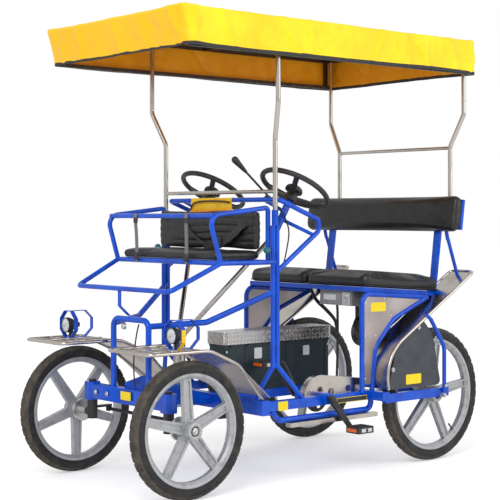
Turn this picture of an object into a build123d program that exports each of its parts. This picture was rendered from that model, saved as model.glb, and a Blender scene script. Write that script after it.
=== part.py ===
from build123d import *
import math
import os

# A four-wheeled pedal quadricycle with a child seat in front, a bench for two riders and a canopy.
# Sizes are in millimetres. X points to the riders' left, Y to the rear, Z up, and the origin lies on
# the floor below the middle of the wheels' length. Places along the vehicle are given behind the front axle.

# Wheels and axles
wheelbase = 1330
front_half_track = 385
rear_half_track = 397
front_tyre_radius = 262
rear_tyre_radius = 289
tyre_width = 54
rim_width = 40
tyre_height = 48
rim_depth = 20
front_axle_y = -(wheelbase + rear_tyre_radius - front_tyre_radius) / 2

# Tubes of the frame
post_tube = 20
brace_tube = 24
seat_tube = 22
pole_tube = 20
thin_tube = 14
sheet = 2
running_clearance = 0.4
seat_gap = 0.3
overrun = 60

# Places of the side posts
post_x = 364
post_behind = 452
post_foot_spread = 156
front_foot_x = 300
post_split_up = 482
post_top_up = 1030

# Chassis rails
rail_width = 28
rail_height = 38
rail_up = 311
cross_height = 60
cross_depth = 40
cross_behind = 392
cross_up = 307
spine_width = 120
rear_cross_behind = 985
outer_rail_x = 452
inner_rail_x = 322
crank_behind = 715
crank_up = 320


def place(x, behind, up):
    """A point, given by its place left of the middle, behind the front axle and above the floor."""
    return Vector(x, front_axle_y + behind, up)


def side_plane(x):
    """An upright plane along the vehicle: its own x runs to the rear, its own y runs up."""
    return Plane(origin=place(x, 0, 0), x_dir=(0, 1, 0), z_dir=(1, 0, 0))


def front_plane(behind):
    """An upright plane across the vehicle that faces forward: its own x runs left, its own y runs up."""
    return Plane(origin=place(0, behind, 0), x_dir=(1, 0, 0), z_dir=(0, -1, 0))


def level_plane(up):
    """A level plane: its own x runs left, its own y runs to the rear from the front axle."""
    return Plane(origin=place(0, 0, up), x_dir=(1, 0, 0), z_dir=(0, 0, 1))


def tube(points, outside, bend=0):
    """A round tube with its centre line through the points and its corners bent to one radius."""
    with BuildPart(mode=Mode.PRIVATE) as run:
        with BuildLine() as path:
            if bend:
                FilletPolyline(*points, radius=bend)
            else:
                Polyline(*points)
        with BuildSketch(Plane(origin=path.line @ 0, z_dir=path.line % 0)):
            Circle(outside / 2)
        sweep()
    return run.part


def flipped(part):
    """The same piece on the other side of the vehicle."""
    return part.mirror(Plane.YZ)


# Front beam: a square tube across the vehicle with a bored block for the kingpin at each end
kingpin_x = 262
kingpin_diameter = 20
beam_height = 62
beam_depth = 40
beam_up = 350
block_width = 60
block_depth = 52
block_height = 74
hoop_half_width = 120
hoop_behind = 8
hoop_top_up = 656
hoop_bend = 34
beam_edge = 4

with BuildPart() as front_beam:
    with BuildSketch(side_plane(0)):
        with Locations((0, beam_up)):
            RectangleRounded(beam_depth, beam_height, beam_edge)
    extrude(amount=kingpin_x, both=True)
    with BuildSketch(level_plane(beam_up)):
        with Locations((kingpin_x, 0), (-kingpin_x, 0)):
            RectangleRounded(block_width, block_depth, block_width / 4)
    extrude(amount=block_height / 2, both=True)
    with Locations(place(kingpin_x, 0, beam_up), place(-kingpin_x, 0, beam_up)):
        Cylinder(kingpin_diameter / 2 + running_clearance, block_height * 2, mode=Mode.SUBTRACT)

# Chassis frame: cross tubes, the wide spine below the box, side rails with the crank shells,
# the outer and inner rear rails with dropouts, and the round rails below the cranks
spine_height = 38
spine_top_up = rail_up + rail_height / 2
neck_up = 420
neck_behind = 110
shell_diameter = 46
shell_inner_x = 212
shell_outer_x = 314
boss_inner_x = 345
boss_outer_x = 396
axle_diameter = 17
dropout_length = 46
dropout_thickness = 8
rear_rail_behind = 1378
low_rail_up = 250
low_rail_front = 470
low_rail_rear = 993
low_rail_bend = 30
rear_rail_width = 20
axle_up_rear = rear_tyre_radius
guard_stay_x = 470
guard_stay_behind = 1340
guard_stay_tube = 18
guard_stay_foot_up = 303
guard_stay_bend_up = 500
guard_stay_head_behind = 1254
guard_stay_head_up = 622
guard_stay_bend = 70

with BuildPart() as chassis_frame:
    # the front and rear cross tubes
    with BuildSketch(side_plane(0)):
        with Locations((cross_behind, cross_up)):
            RectangleRounded(cross_depth, cross_height, beam_edge)
    extrude(amount=post_x + rail_width / 2, both=True)
    with BuildSketch(side_plane(0)):
        with Locations((rear_cross_behind, rail_up)):
            RectangleRounded(cross_depth, rail_height, beam_edge)
    extrude(amount=outer_rail_x + rear_rail_width / 2, both=True)
    # the spine, with its raised neck behind the front beam
    with BuildSketch(side_plane(0)):
        with BuildLine():
            Polyline(
                (beam_depth / 2, beam_up - beam_height / 2),
                (beam_depth / 2, neck_up - beam_height / 3),
                (neck_behind, neck_up),
                (cross_behind - cross_depth, spine_top_up),
                (rear_cross_behind, spine_top_up),
                (rear_cross_behind, spine_top_up - spine_height),
                (cross_behind, spine_top_up - spine_height),
                close=True,
            )
        make_face()
    extrude(amount=spine_width / 2, both=True)
    # side rails, rear rails and low rails of both sides
    for side in (1, -1):
        with BuildSketch(side_plane(side * post_x)):
            with Locations(((cross_behind + rear_cross_behind) / 2, rail_up)):
                Rectangle(rear_cross_behind - cross_behind, rail_height)
        extrude(amount=rail_width / 2, both=True)
        for rail_x in (outer_rail_x, inner_rail_x):
            with BuildSketch(side_plane(side * rail_x)):
                with Locations(((rear_cross_behind + rear_rail_behind) / 2, rail_up - rail_height / 4)):
                    Rectangle(rear_rail_behind - rear_cross_behind, rail_height)
            extrude(amount=rear_rail_width / 2, both=True)
        add(
            tube(
                [
                    place(side * post_x, cross_behind + cross_depth, cross_up - cross_height / 4),
                    place(side * post_x, low_rail_front, low_rail_up),
                    place(side * post_x, low_rail_rear, low_rail_up),
                    place(side * post_x, low_rail_rear, rail_up),
                ],
                brace_tube,
                low_rail_bend,
            )
        )
        with BuildSketch(side_plane(side * shell_inner_x)):
            with Locations((crank_behind, crank_up)):
                Circle(shell_diameter / 2)
        extrude(amount=side * (shell_outer_x - shell_inner_x))
        with BuildSketch(side_plane(side * boss_inner_x)):
            with Locations((crank_behind, crank_up)):
                Circle(shell_diameter / 2)
        extrude(amount=side * (boss_outer_x - boss_inner_x))
        add(
            tube(
                [
                    place(side * (shell_inner_x + brace_tube), crank_behind, crank_up),
                    place(side * (shell_inner_x + brace_tube), rear_cross_behind, rail_up),
                ],
                brace_tube,
            )
        )
        add(
            tube(
                [
                    place(side * guard_stay_x, guard_stay_behind, guard_stay_foot_up),
                    place(side * guard_stay_x, guard_stay_behind, guard_stay_bend_up),
                    place(side * guard_stay_x, guard_stay_head_behind, guard_stay_head_up),
                ],
                guard_stay_tube,
                guard_stay_bend,
            )
        )
    # bores for the crank axles and seats of the rear axles
    for side in (1, -1):
        with BuildSketch(side_plane(side * (shell_inner_x - overrun))):
            with Locations((crank_behind, crank_up)):
                Circle(axle_diameter / 2 + running_clearance)
        extrude(amount=side * (boss_outer_x - shell_inner_x + 2 * overrun), mode=Mode.SUBTRACT)
        with BuildSketch(side_plane(side * (inner_rail_x - overrun))):
            with Locations((wheelbase, rear_tyre_radius)):
                Circle(axle_diameter / 2)
        extrude(amount=side * (outer_rail_x - inner_rail_x + 2 * overrun), mode=Mode.SUBTRACT)
    add(front_beam.part, mode=Mode.SUBTRACT)

# Front frame: the hoop on the beam, the braces to the side posts, the posts with their spread feet
brace_bend_x = 230
brace_bend_behind = 211
brace_low_up = 634
brace_bend_up = 648
brace_post_up = 768
post_foot_up = rail_up + rail_height / 2
post_pair_offset = 11
socket_tube = 27
socket_height = 62

with BuildPart() as front_frame:
    add(
        tube(
            [
                place(-hoop_half_width, hoop_behind, beam_up + beam_height / 2 - beam_edge),
                place(-hoop_half_width, hoop_behind, hoop_top_up),
                place(hoop_half_width, hoop_behind, hoop_top_up),
                place(hoop_half_width, hoop_behind, beam_up + beam_height / 2 - beam_edge),
            ],
            brace_tube,
            hoop_bend,
        )
    )
    for side in (1, -1):
        add(
            tube(
                [
                    place(side * hoop_half_width, hoop_behind, brace_low_up),
                    place(side * brace_bend_x, brace_bend_behind, brace_bend_up),
                    place(side * post_x, post_behind, brace_post_up),
                ],
                brace_tube,
                brace_bend_behind / 4,
            )
        )
        for step in (-post_pair_offset, post_pair_offset):
            add(
                tube(
                    [
                        place(side * post_x, post_behind + step, post_split_up - post_tube),
                        place(side * post_x, post_behind + step, post_top_up),
                    ],
                    post_tube,
                )
            )
        for foot_x, foot_behind, foot_up in (
            (front_foot_x, cross_behind, cross_up + cross_height / 2),
            (post_x, post_behind + post_foot_spread, post_foot_up),
        ):
            add(
                tube(
                    [
                        place(side * foot_x, foot_behind, foot_up - post_tube / 2),
                        place(side * post_x, post_behind, post_split_up),
                    ],
                    post_tube,
                )
            )
        with Locations(place(side * post_x, post_behind, post_top_up + socket_height / 2)):
            Cylinder(socket_tube / 2, socket_height)
    add(front_beam.part, mode=Mode.SUBTRACT)
    add(chassis_frame.part, mode=Mode.SUBTRACT)

# Wheels: a cast rim with five channelled spokes and a hub, and a tyre seated on it
hub_radius = 34
hub_width = 84
spoke_count = 5
spoke_root_width = 46
spoke_tip_width = 34
spoke_thickness = 22
spoke_channel_depth = 5
spoke_rib = 6
hub_recess_radius = 19
hub_recess_depth = 8
wheel_bore = 8.5


def cast_rim(tyre_radius):
    """A rim around the X axis at the origin: barrel, spokes with a channel in each face, and hub."""
    seat_radius = tyre_radius - tyre_height
    inner_radius = seat_radius - rim_depth
    with BuildPart(mode=Mode.PRIVATE) as rim:
        with BuildSketch(Plane.XY):
            with BuildLine():
                Polyline(
                    (-rim_width / 2, seat_radius),
                    (-rim_width / 2, inner_radius + rim_depth / 2),
                    (-rim_width / 4, inner_radius),
                    (rim_width / 4, inner_radius),
                    (rim_width / 2, inner_radius + rim_depth / 2),
                    (rim_width / 2, seat_radius),
                    close=True,
                )
            make_face()
        revolve(axis=Axis.X)
        with BuildSketch(Plane.YZ):
            Circle(hub_radius)
        extrude(amount=hub_width / 2, both=True)
        with BuildSketch(Plane.YZ):
            with PolarLocations(0, spoke_count, start_angle=90):
                Polygon(
                    (0, -spoke_root_width / 2),
                    (inner_radius + rim_depth / 4, -spoke_tip_width / 2),
                    (inner_radius + rim_depth / 4, spoke_tip_width / 2),
                    (0, spoke_root_width / 2),
                    align=None,
                )
        extrude(amount=spoke_thickness / 2, both=True)
        for face_side in (1, -1):
            with BuildSketch(Plane.YZ.offset(face_side * spoke_thickness / 2)):
                with PolarLocations(0, spoke_count, start_angle=90):
                    Polygon(
                        (hub_radius + spoke_rib, -spoke_root_width / 2 + spoke_rib * 2),
                        (inner_radius - spoke_rib, -spoke_tip_width / 2 + spoke_rib),
                        (inner_radius - spoke_rib, spoke_tip_width / 2 - spoke_rib),
                        (hub_radius + spoke_rib, spoke_root_width / 2 - spoke_rib * 2),
                        align=None,
                    )
            extrude(amount=-face_side * spoke_channel_depth, mode=Mode.SUBTRACT)
        with BuildSketch(Plane.YZ):
            Circle(wheel_bore + running_clearance)
        extrude(amount=hub_width, both=True, mode=Mode.SUBTRACT)
        with BuildSketch(Plane.YZ.offset(hub_width / 2 - hub_recess_depth)):
            Circle(hub_recess_radius)
        extrude(amount=hub_recess_depth, mode=Mode.SUBTRACT)
    return rim.part


def tyre_ring(tyre_radius):
    """A tyre around the X axis at the origin, with rounded shoulders, seated on its rim."""
    with BuildPart(mode=Mode.PRIVATE) as ring:
        with BuildSketch(Plane.XY):
            with Locations((0, tyre_radius - tyre_height / 2)):
                RectangleRounded(tyre_width, tyre_height, tyre_height * 0.42)
            with Locations((0, tyre_radius - tyre_height)):
                Rectangle(tyre_width, rim_depth, mode=Mode.SUBTRACT)
            with Locations((0, tyre_radius - tyre_height + rim_depth / 4)):
                Rectangle(rim_width, rim_depth / 2)
        revolve(axis=Axis.X)
    return ring.part


wheel_table = (
    # name, side, half track, behind the front axle, tyre radius, turn of the spokes
    ("front_left", 1, front_half_track, 0, front_tyre_radius, 4),
    ("front_right", -1, front_half_track, 0, front_tyre_radius, 180),
    ("rear_left", 1, rear_half_track, wheelbase, rear_tyre_radius, -10),
    ("rear_right", -1, rear_half_track, wheelbase, rear_tyre_radius, 24),
)

wheel_parts = {}
for wheel_name, side, half_track, behind, tyre_radius, spoke_turn in wheel_table:
    centre = Location(place(side * half_track, behind, tyre_radius))
    facing = Location((0, 0, 0), (0, 0, 0 if side > 0 else 180))
    with BuildPart() as rim:
        add(cast_rim(tyre_radius).moved(centre * facing * Location((0, 0, 0), (side * spoke_turn, 0, 0))))
    with BuildPart() as tyre:
        add(tyre_ring(tyre_radius).moved(centre * facing))
    wheel_parts["rim_" + wheel_name] = rim.part
    wheel_parts["tyre_" + wheel_name] = tyre.part

# Steering knuckles: kingpin, lower body, stub axle with its nut and the steering arm
knuckle_radius = 21
knuckle_bottom_up = front_tyre_radius - 27
block_bottom_up = beam_up - block_height / 2
block_top_up = beam_up + block_height / 2
pin_gap = 0.5
kingpin_nut = 15
kingpin_nut_height = 9
brake_radius = 46
brake_thickness = 14
brake_x = front_half_track - hub_width / 2 - brake_thickness - seat_gap
arm_behind = 82
arm_up = 281
arm_thickness = 8
arm_width = 26
tie_pin = 10
tie_pin_height = 22
tie_tube = 14
axle_nut_radius = 11
wheel_axle = 2 * wheel_bore

with BuildPart() as knuckle_left:
    with BuildSketch(Plane(place(kingpin_x, 0, knuckle_bottom_up))):
        Circle(knuckle_radius)
    extrude(amount=block_bottom_up - pin_gap - knuckle_bottom_up)
    with BuildSketch(Plane(place(kingpin_x, 0, knuckle_bottom_up))):
        Circle(kingpin_diameter / 2)
    extrude(amount=block_top_up + pin_gap + kingpin_nut_height / 2 - knuckle_bottom_up)
    with BuildSketch(Plane(place(kingpin_x, 0, block_top_up + pin_gap))):
        RegularPolygon(kingpin_nut, 6)
    extrude(amount=kingpin_nut_height)
    with BuildSketch(side_plane(kingpin_x)):
        with Locations((0, front_tyre_radius)):
            Circle(wheel_bore)
    extrude(amount=front_half_track + hub_width / 2 - kingpin_x - hub_recess_depth)
    with BuildSketch(side_plane(kingpin_x)):
        with Locations((0, front_tyre_radius)):
            Circle(knuckle_radius * 0.8)
    extrude(amount=brake_x - kingpin_x)
    with BuildSketch(side_plane(brake_x)):
        with Locations((0, front_tyre_radius)):
            Circle(brake_radius)
    extrude(amount=brake_thickness)
    with BuildSketch(side_plane(front_half_track + hub_width / 2 - hub_recess_depth + seat_gap)):
        with Locations((0, front_tyre_radius)):
            RegularPolygon(axle_nut_radius, 6)
            Circle(wheel_bore)
    extrude(amount=hub_recess_depth)
    with BuildSketch(side_plane(front_half_track + hub_width / 2 - hub_recess_depth - seat_gap)):
        with Locations((0, front_tyre_radius)):
            Circle(wheel_bore)
    extrude(amount=hub_recess_depth)
    with BuildSketch(Plane(place(0, 0, arm_up))):
        with Locations((kingpin_x, arm_behind / 2)):
            SlotOverall(arm_behind + arm_width, arm_width, rotation=90)
    extrude(amount=arm_thickness / 2, both=True)
    with BuildSketch(Plane(place(0, 0, arm_up - arm_thickness / 2))):
        with Locations((kingpin_x, arm_behind)):
            Circle(tie_pin / 2)
    extrude(amount=-tie_pin_height)

with BuildPart() as knuckle_right:
    add(flipped(knuckle_left.part))

# Tie rod below the steering arms, on their pins
tie_up = arm_up - arm_thickness / 2 - tie_pin_height / 2
tie_eye_radius = 13
tie_eye_height = 16

with BuildPart() as tie_rod:
    add(
        tube(
            [
                place(-kingpin_x, arm_behind, tie_up),
                place(kingpin_x, arm_behind, tie_up),
            ],
            tie_tube,
        )
    )
    with Locations(place(kingpin_x, arm_behind, tie_up), place(-kingpin_x, arm_behind, tie_up)):
        Cylinder(tie_eye_radius, tie_eye_height)
        Cylinder(tie_pin / 2 + running_clearance, tie_eye_height * 2, mode=Mode.SUBTRACT)

# Rear axles, fixed in the rails, one through each rear wheel, and the round axle case between them
with BuildPart() as rear_axles:
    for side in (1, -1):
        with BuildSketch(side_plane(side * (inner_rail_x - rear_rail_width))):
            with Locations((wheelbase, rear_tyre_radius)):
                Circle(wheel_bore)
        extrude(amount=side * (outer_rail_x - inner_rail_x + 2 * rear_rail_width + axle_nut_radius))
        with BuildSketch(side_plane(side * (outer_rail_x + rear_rail_width / 2))):
            with Locations((wheelbase, rear_tyre_radius)):
                RegularPolygon(axle_nut_radius, 6)
        extrude(amount=side * axle_nut_radius)

# Cranks: an axle through the shell with a square-shouldered arm at each end, half a turn apart
crank_length = 170
crank_arm_width = 26
crank_arm_thickness = 14
crank_angle = -49
right_crank_angle = 41
crank_outer_x = 406
crank_inner_x = 196
pedal_axle = 14
pedal_axle_length = 88
pedal_length = 92
pedal_width = 78
pedal_height = 26
pedal_bar = 9
chainring_radius = 62
chainring_thickness = 4
chainring_x = shell_outer_x + 12
chain_line_gap = 1


def crank_set(angle):
    """The crank axle, both arms and the pedal axles of one rider, for the left side of the vehicle."""
    with BuildPart(mode=Mode.PRIVATE) as cranks:
        with BuildSketch(side_plane(crank_inner_x)):
            with Locations((crank_behind, crank_up)):
                Circle(axle_diameter / 2)
        extrude(amount=crank_outer_x - crank_inner_x)
        arm_ends = (
            # face of the arm, direction of its thickness, angle of the arm
            (crank_outer_x, 1, angle),
            (crank_inner_x, -1, angle + 180),
        )
        for arm_x, out, arm_angle in arm_ends:
            reach_behind = crank_length * math.cos(math.radians(arm_angle))
            reach_up = crank_length * math.sin(math.radians(arm_angle))
            with BuildSketch(side_plane(arm_x)):
                with Locations((crank_behind, crank_up)):
                    Circle(crank_arm_width / 2 + running_clearance)
                with Locations((crank_behind + reach_behind, crank_up + reach_up)):
                    Circle(crank_arm_width / 3)
                make_hull()
            extrude(amount=out * crank_arm_thickness)
            with BuildSketch(side_plane(arm_x + out * crank_arm_thickness)):
                with Locations((crank_behind + reach_behind, crank_up + reach_up)):
                    Circle(pedal_axle / 2)
            extrude(amount=out * pedal_axle_length)
        with BuildSketch(side_plane(chainring_x)):
            with Locations((crank_behind, crank_up)):
                Circle(chainring_radius)
                with PolarLocations(chainring_radius * 0.62, spoke_count):
                    Circle(chainring_radius * 0.2, mode=Mode.SUBTRACT)
        extrude(amount=-chainring_thickness)
    return cranks.part


def pedal(x, out, angle):
    """A cage pedal around its axle, lying level, for an arm that points at the angle."""
    centre_behind = crank_behind + crank_length * math.cos(math.radians(angle))
    centre_up = crank_up + crank_length * math.sin(math.radians(angle))
    middle_x = x + out * (crank_arm_thickness + pedal_axle_length / 2 + pedal_bar / 4)
    with BuildPart(mode=Mode.PRIVATE) as cage:
        with BuildSketch(Plane(place(middle_x, centre_behind, centre_up))):
            RectangleRounded(pedal_width, pedal_length, pedal_bar)
            with Locations((0, pedal_length / 4), (0, -pedal_length / 4)):
                RectangleRounded(
                    pedal_width - 2 * pedal_bar,
                    pedal_length / 2 - 2 * pedal_bar,
                    pedal_bar / 2,
                    mode=Mode.SUBTRACT,
                )
        extrude(amount=pedal_height / 2, both=True)
        with BuildSketch(side_plane(middle_x)):
            with Locations((centre_behind, centre_up)):
                Circle(pedal_axle / 2 + running_clearance)
        extrude(amount=pedal_width, both=True, mode=Mode.SUBTRACT)
    return cage.part


with BuildPart() as cranks_left:
    add(crank_set(crank_angle))
with BuildPart() as cranks_right:
    add(flipped(crank_set(right_crank_angle)))
with BuildPart() as pedal_left_outer:
    add(pedal(crank_outer_x, 1, crank_angle))
with BuildPart() as pedal_left_inner:
    add(pedal(crank_inner_x, -1, crank_angle + 180))
with BuildPart() as pedal_right_outer:
    add(flipped(pedal(crank_outer_x, 1, right_crank_angle)))
with BuildPart() as pedal_right_inner:
    add(flipped(pedal(crank_inner_x, -1, right_crank_angle + 180)))

# Front mudguards: a bent tube loop around a grating over the wheel, with a sheet down behind it
guard_inner_x = 156
guard_outer_x = 434
guard_front = -212
guard_up = 560
guard_flat_end = 66
guard_mid_behind = 205
guard_mid_up = 498
guard_foot_behind = cross_behind - cross_depth / 4
guard_foot_up = cross_up + cross_height / 2 + thin_tube / 2 - 1
guard_inner_foot_x = 196
guard_outer_foot_x = 366
guard_arc = 130
grating_bar = 8
grating_share = (0.2, 0.42, 0.64, 0.86)

with BuildPart() as front_mudguards:
    for side in (1, -1):
        for loop_x, foot_x in ((guard_inner_x, guard_inner_foot_x), (guard_outer_x, guard_outer_foot_x)):
            add(
                tube(
                    [
                        place(side * (guard_inner_x + guard_outer_x) / 2, guard_front, guard_up),
                        place(side * loop_x, guard_front, guard_up),
                        place(side * loop_x, guard_flat_end, guard_up),
                        place(side * loop_x, guard_mid_behind, guard_mid_up),
                        place(side * foot_x, guard_foot_behind, guard_foot_up),
                    ],
                    thin_tube,
                    [thin_tube * 2, guard_arc, guard_arc],
                )
            )
        for share in grating_share:
            bar_behind = guard_front + share * (guard_flat_end - guard_front)
            with Locations(place(side * (guard_inner_x + guard_outer_x) / 2, bar_behind, guard_up)):
                Box(guard_outer_x - guard_inner_x, grating_bar, grating_bar)
        with Locations(place(side * (guard_inner_x + guard_outer_x) / 2, (guard_front + guard_flat_end) / 2, guard_up)):
            Box(grating_bar, guard_flat_end - guard_front, grating_bar)
        with BuildSketch(side_plane(side * (guard_inner_x + thin_tube / 4))):
            with BuildLine():
                FilletPolyline(
                    (guard_flat_end - grating_bar, guard_up),
                    (guard_flat_end, guard_up),
                    (guard_mid_behind, guard_mid_up),
                    (guard_foot_behind - thin_tube, guard_foot_up + thin_tube),
                    radius=[grating_bar / 2, guard_arc],
                )
            trace(line_width=sheet)
        extrude(amount=side * (guard_outer_x - guard_inner_x - thin_tube / 2))
    add(front_frame.part, mode=Mode.SUBTRACT)
    add(chassis_frame.part, mode=Mode.SUBTRACT)

# Headlamps on the mudguards: a lens and cone, and the octagonal strap that guards each
lamp_x = 346
lamp_up = 617
lamp_radius = 31
lamp_length = 62
lamp_flat = 14
strap_size = 56
strap_loop = 112
strap_corner = 34
strap_width = 19
strap_behind = 14
strap_sheet = 3
strap_foot_up = guard_up + grating_bar / 2
strap_top_up = strap_foot_up + 2 * strap_size
lamp_table = (
    # side, place of the lamp's middle behind the front axle
    (1, -18),
    (-1, -44),
)

with BuildPart() as headlamps:
    for side, lamp_behind in lamp_table:
        with BuildSketch(front_plane(lamp_behind - lamp_length / 2)):
            with Locations((side * lamp_x, lamp_up)):
                Circle(lamp_radius)
        extrude(amount=-lamp_flat)
        with BuildSketch(front_plane(lamp_behind - lamp_length / 2 + lamp_flat)):
            with Locations((side * lamp_x, lamp_up)):
                Circle(lamp_radius)
        with BuildSketch(front_plane(lamp_behind + lamp_length / 2)):
            with Locations((side * lamp_x, lamp_up)):
                Circle(lamp_radius / 3)
        loft()
        with BuildSketch(front_plane(lamp_behind - lamp_flat / 2)):
            with Locations((side * lamp_x, (lamp_up + strap_foot_up + strap_sheet) / 2)):
                Rectangle(lamp_flat, lamp_up - strap_foot_up - strap_sheet)
        extrude(amount=lamp_flat / 2, both=True)

with BuildPart() as lamp_guards:
    for side, lamp_behind in lamp_table:
        ring_behind = lamp_behind - lamp_length / 2 + strap_behind
        with BuildSketch(front_plane(ring_behind)):
            with Locations((side * lamp_x, strap_foot_up + strap_size)):
                RegularPolygon(strap_size, 8, major_radius=False, rotation=22.5)
                RegularPolygon(strap_size - strap_sheet, 8, major_radius=False, rotation=22.5, mode=Mode.SUBTRACT)
        extrude(amount=strap_width / 2, both=True)
        with BuildSketch(side_plane(side * lamp_x)):
            with BuildLine():
                Polyline(
                    (ring_behind, strap_top_up - strap_sheet / 2),
                    (ring_behind + strap_loop - strap_corner, strap_top_up - strap_sheet / 2),
                    (ring_behind + strap_loop, strap_top_up - strap_corner),
                    (ring_behind + strap_loop, strap_foot_up + strap_corner),
                    (ring_behind + strap_loop - strap_corner, strap_foot_up + strap_sheet / 2),
                    (ring_behind, strap_foot_up + strap_sheet / 2),
                )
            trace(line_width=strap_sheet)
        extrude(amount=strap_width / 2, both=True)
    add(headlamps.part, mode=Mode.SUBTRACT)

# Storage box between the riders, with a treadplate lid hinged at its rear edge
box_half_width = 56
box_front = 446
box_rear = 1046
box_bottom_up = spine_top_up + seat_gap
box_top_up = 579
box_wall = 4
lid_overhang = 9
lid_height = 52
lid_lap = 30
lid_thickness = 3
lid_gap = 1.5
box_corner = 14

with BuildPart() as storage_box:
    with BuildSketch(level_plane(box_bottom_up)):
        with Locations((0, (box_front + box_rear) / 2)):
            RectangleRounded(2 * box_half_width, box_rear - box_front, box_corner)
    extrude(amount=box_top_up - box_bottom_up)
    offset(amount=-box_wall, openings=storage_box.faces().sort_by(Axis.Z)[-1])

with BuildPart() as box_lid:
    with BuildSketch(level_plane(box_top_up + seat_gap + lid_thickness - lid_height)):
        with Locations((0, (box_front + box_rear) / 2)):
            RectangleRounded(
                2 * (box_half_width + lid_overhang), box_rear - box_front + 2 * lid_overhang, box_corner + lid_overhang
            )
    extrude(amount=lid_height)
    offset(amount=-lid_thickness, openings=box_lid.faces().sort_by(Axis.Z)[0])

# Side panels in front of the rear wheels, each in a bent tube that also carries the bench
panel_x = 378
panel_front = 927
panel_foot_up = rail_up + rail_height / 2
panel_top_front_up = 742
panel_top_rear_up = 710
panel_top_rear = 1330
panel_bend = 44
panel_arc_foot = rear_cross_behind
panel_arc_low = 1004
panel_arc_low_up = 512
panel_arc_mid = 1116
panel_arc_mid_up = 626
panel_arc = 110
panel_sheet = 3

with BuildPart() as side_panels:
    for side in (1, -1):
        add(
            tube(
                [
                    place(side * panel_x, panel_front, panel_foot_up - brace_tube / 4),
                    place(side * panel_x, panel_front, panel_top_front_up),
                    place(side * panel_x, panel_top_rear, panel_top_rear_up),
                ],
                seat_tube,
                panel_bend,
            )
        )
        add(
            tube(
                [
                    place(side * panel_x, panel_arc_foot, panel_foot_up - brace_tube / 4),
                    place(side * panel_x, panel_arc_low, panel_arc_low_up),
                    place(side * panel_x, panel_arc_mid, panel_arc_mid_up),
                    place(side * panel_x, panel_top_rear, panel_top_rear_up),
                ],
                seat_tube,
                panel_arc,
            )
        )
        with BuildSketch(side_plane(side * panel_x)):
            with BuildLine():
                Polyline(
                    (panel_front, panel_foot_up + seat_tube),
                    (panel_front, panel_top_front_up - panel_bend / 3),
                    (panel_front + panel_bend / 3, panel_top_front_up),
                    (panel_top_rear, panel_top_rear_up),
                    (panel_arc_mid, panel_arc_mid_up),
                    (panel_arc_low, panel_arc_low_up - seat_tube),
                    (panel_arc_foot, panel_foot_up + seat_tube),
                    close=True,
                )
            make_face()
        extrude(amount=panel_sheet / 2, both=True)
    add(chassis_frame.part, mode=Mode.SUBTRACT)

# Rear mudguards: a long bent loop with a sheet in it, rising over each rear wheel to the rear
rear_guard_inner_x = 326
rear_guard_outer_x = 462
rear_guard_tip = 1546
rear_guard_tip_up = 820
rear_guard_corner = 976
rear_guard_corner_up = 478
rear_guard_low = 1001
rear_guard_low_up = rail_up + rail_height / 2 + seat_gap + thin_tube / 2
rear_guard_arc = 185

with BuildPart() as rear_mudguards:
    for side in (1, -1):
        middle_x = side * (rear_guard_inner_x + rear_guard_outer_x) / 2
        for loop_x in (rear_guard_inner_x, rear_guard_outer_x):
            add(
                tube(
                    [
                        place(middle_x, rear_guard_tip, rear_guard_tip_up),
                        place(side * loop_x, rear_guard_tip, rear_guard_tip_up),
                        place(side * loop_x, rear_guard_corner, rear_guard_corner_up),
                        place(side * loop_x, rear_guard_low, rear_guard_low_up),
                    ],
                    thin_tube,
                    [thin_tube * 2, rear_guard_arc],
                )
            )
        with BuildSketch(side_plane(side * rear_guard_inner_x)):
            with BuildLine():
                FilletPolyline(
                    (rear_guard_tip, rear_guard_tip_up),
                    (rear_guard_corner, rear_guard_corner_up),
                    (rear_guard_low, rear_guard_low_up),
                    radius=rear_guard_arc,
                )
            trace(line_width=sheet)
        extrude(amount=side * (rear_guard_outer_x - rear_guard_inner_x))
    add(side_panels.part, mode=Mode.SUBTRACT)
    add(chassis_frame.part, mode=Mode.SUBTRACT)

# Bench frame, its two cushions, and the backrest on flat supports
bench_half_width = 372
bench_front = 945
bench_rear = 1406
bench_drop_share = 0.075
bench_front_up = 768
cushion_height = 58
cushion_half_width = 386
cushion_seam = 2
cushion_edge = 22
bench_tube = 20
bench_rib_x = 200
bench_bar_half = 410
backrest_behind = 1436
backrest_bottom_up = 1000
backrest_top_up = 1150
backrest_half_width = 484
backrest_thickness = 46
backrest_lean = 8
support_x = 339
support_width = 34
support_thickness = 12
bench_tilt = math.degrees(math.atan(bench_drop_share))
bench_plane = Plane(
    origin=place(0, bench_front, bench_front_up),
    x_dir=(1, 0, 0),
    z_dir=(0, math.sin(math.radians(bench_tilt)), math.cos(math.radians(bench_tilt))),
)

with BuildPart() as bench_frame:
    with BuildSketch(bench_plane.offset(-bench_tube)):
        with Locations((0, (bench_rear - bench_front) / 2)):
            Rectangle(2 * bench_half_width, bench_rear - bench_front)
            Rectangle(
                2 * (bench_half_width - bench_tube), bench_rear - bench_front - 2 * bench_tube, mode=Mode.SUBTRACT
            )
            with Locations((bench_rib_x, 0), (-bench_rib_x, 0)):
                Rectangle(bench_tube, bench_rear - bench_front)
    extrude(amount=bench_tube - seat_gap)
    with BuildSketch(bench_plane.offset(-bench_tube)):
        with Locations((0, bench_rear - bench_front - bench_tube / 2)):
            Rectangle(2 * bench_bar_half, bench_tube)
    extrude(amount=bench_tube - seat_gap)
    add(side_panels.part, mode=Mode.SUBTRACT)
    add(rear_mudguards.part, mode=Mode.SUBTRACT)

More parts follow.
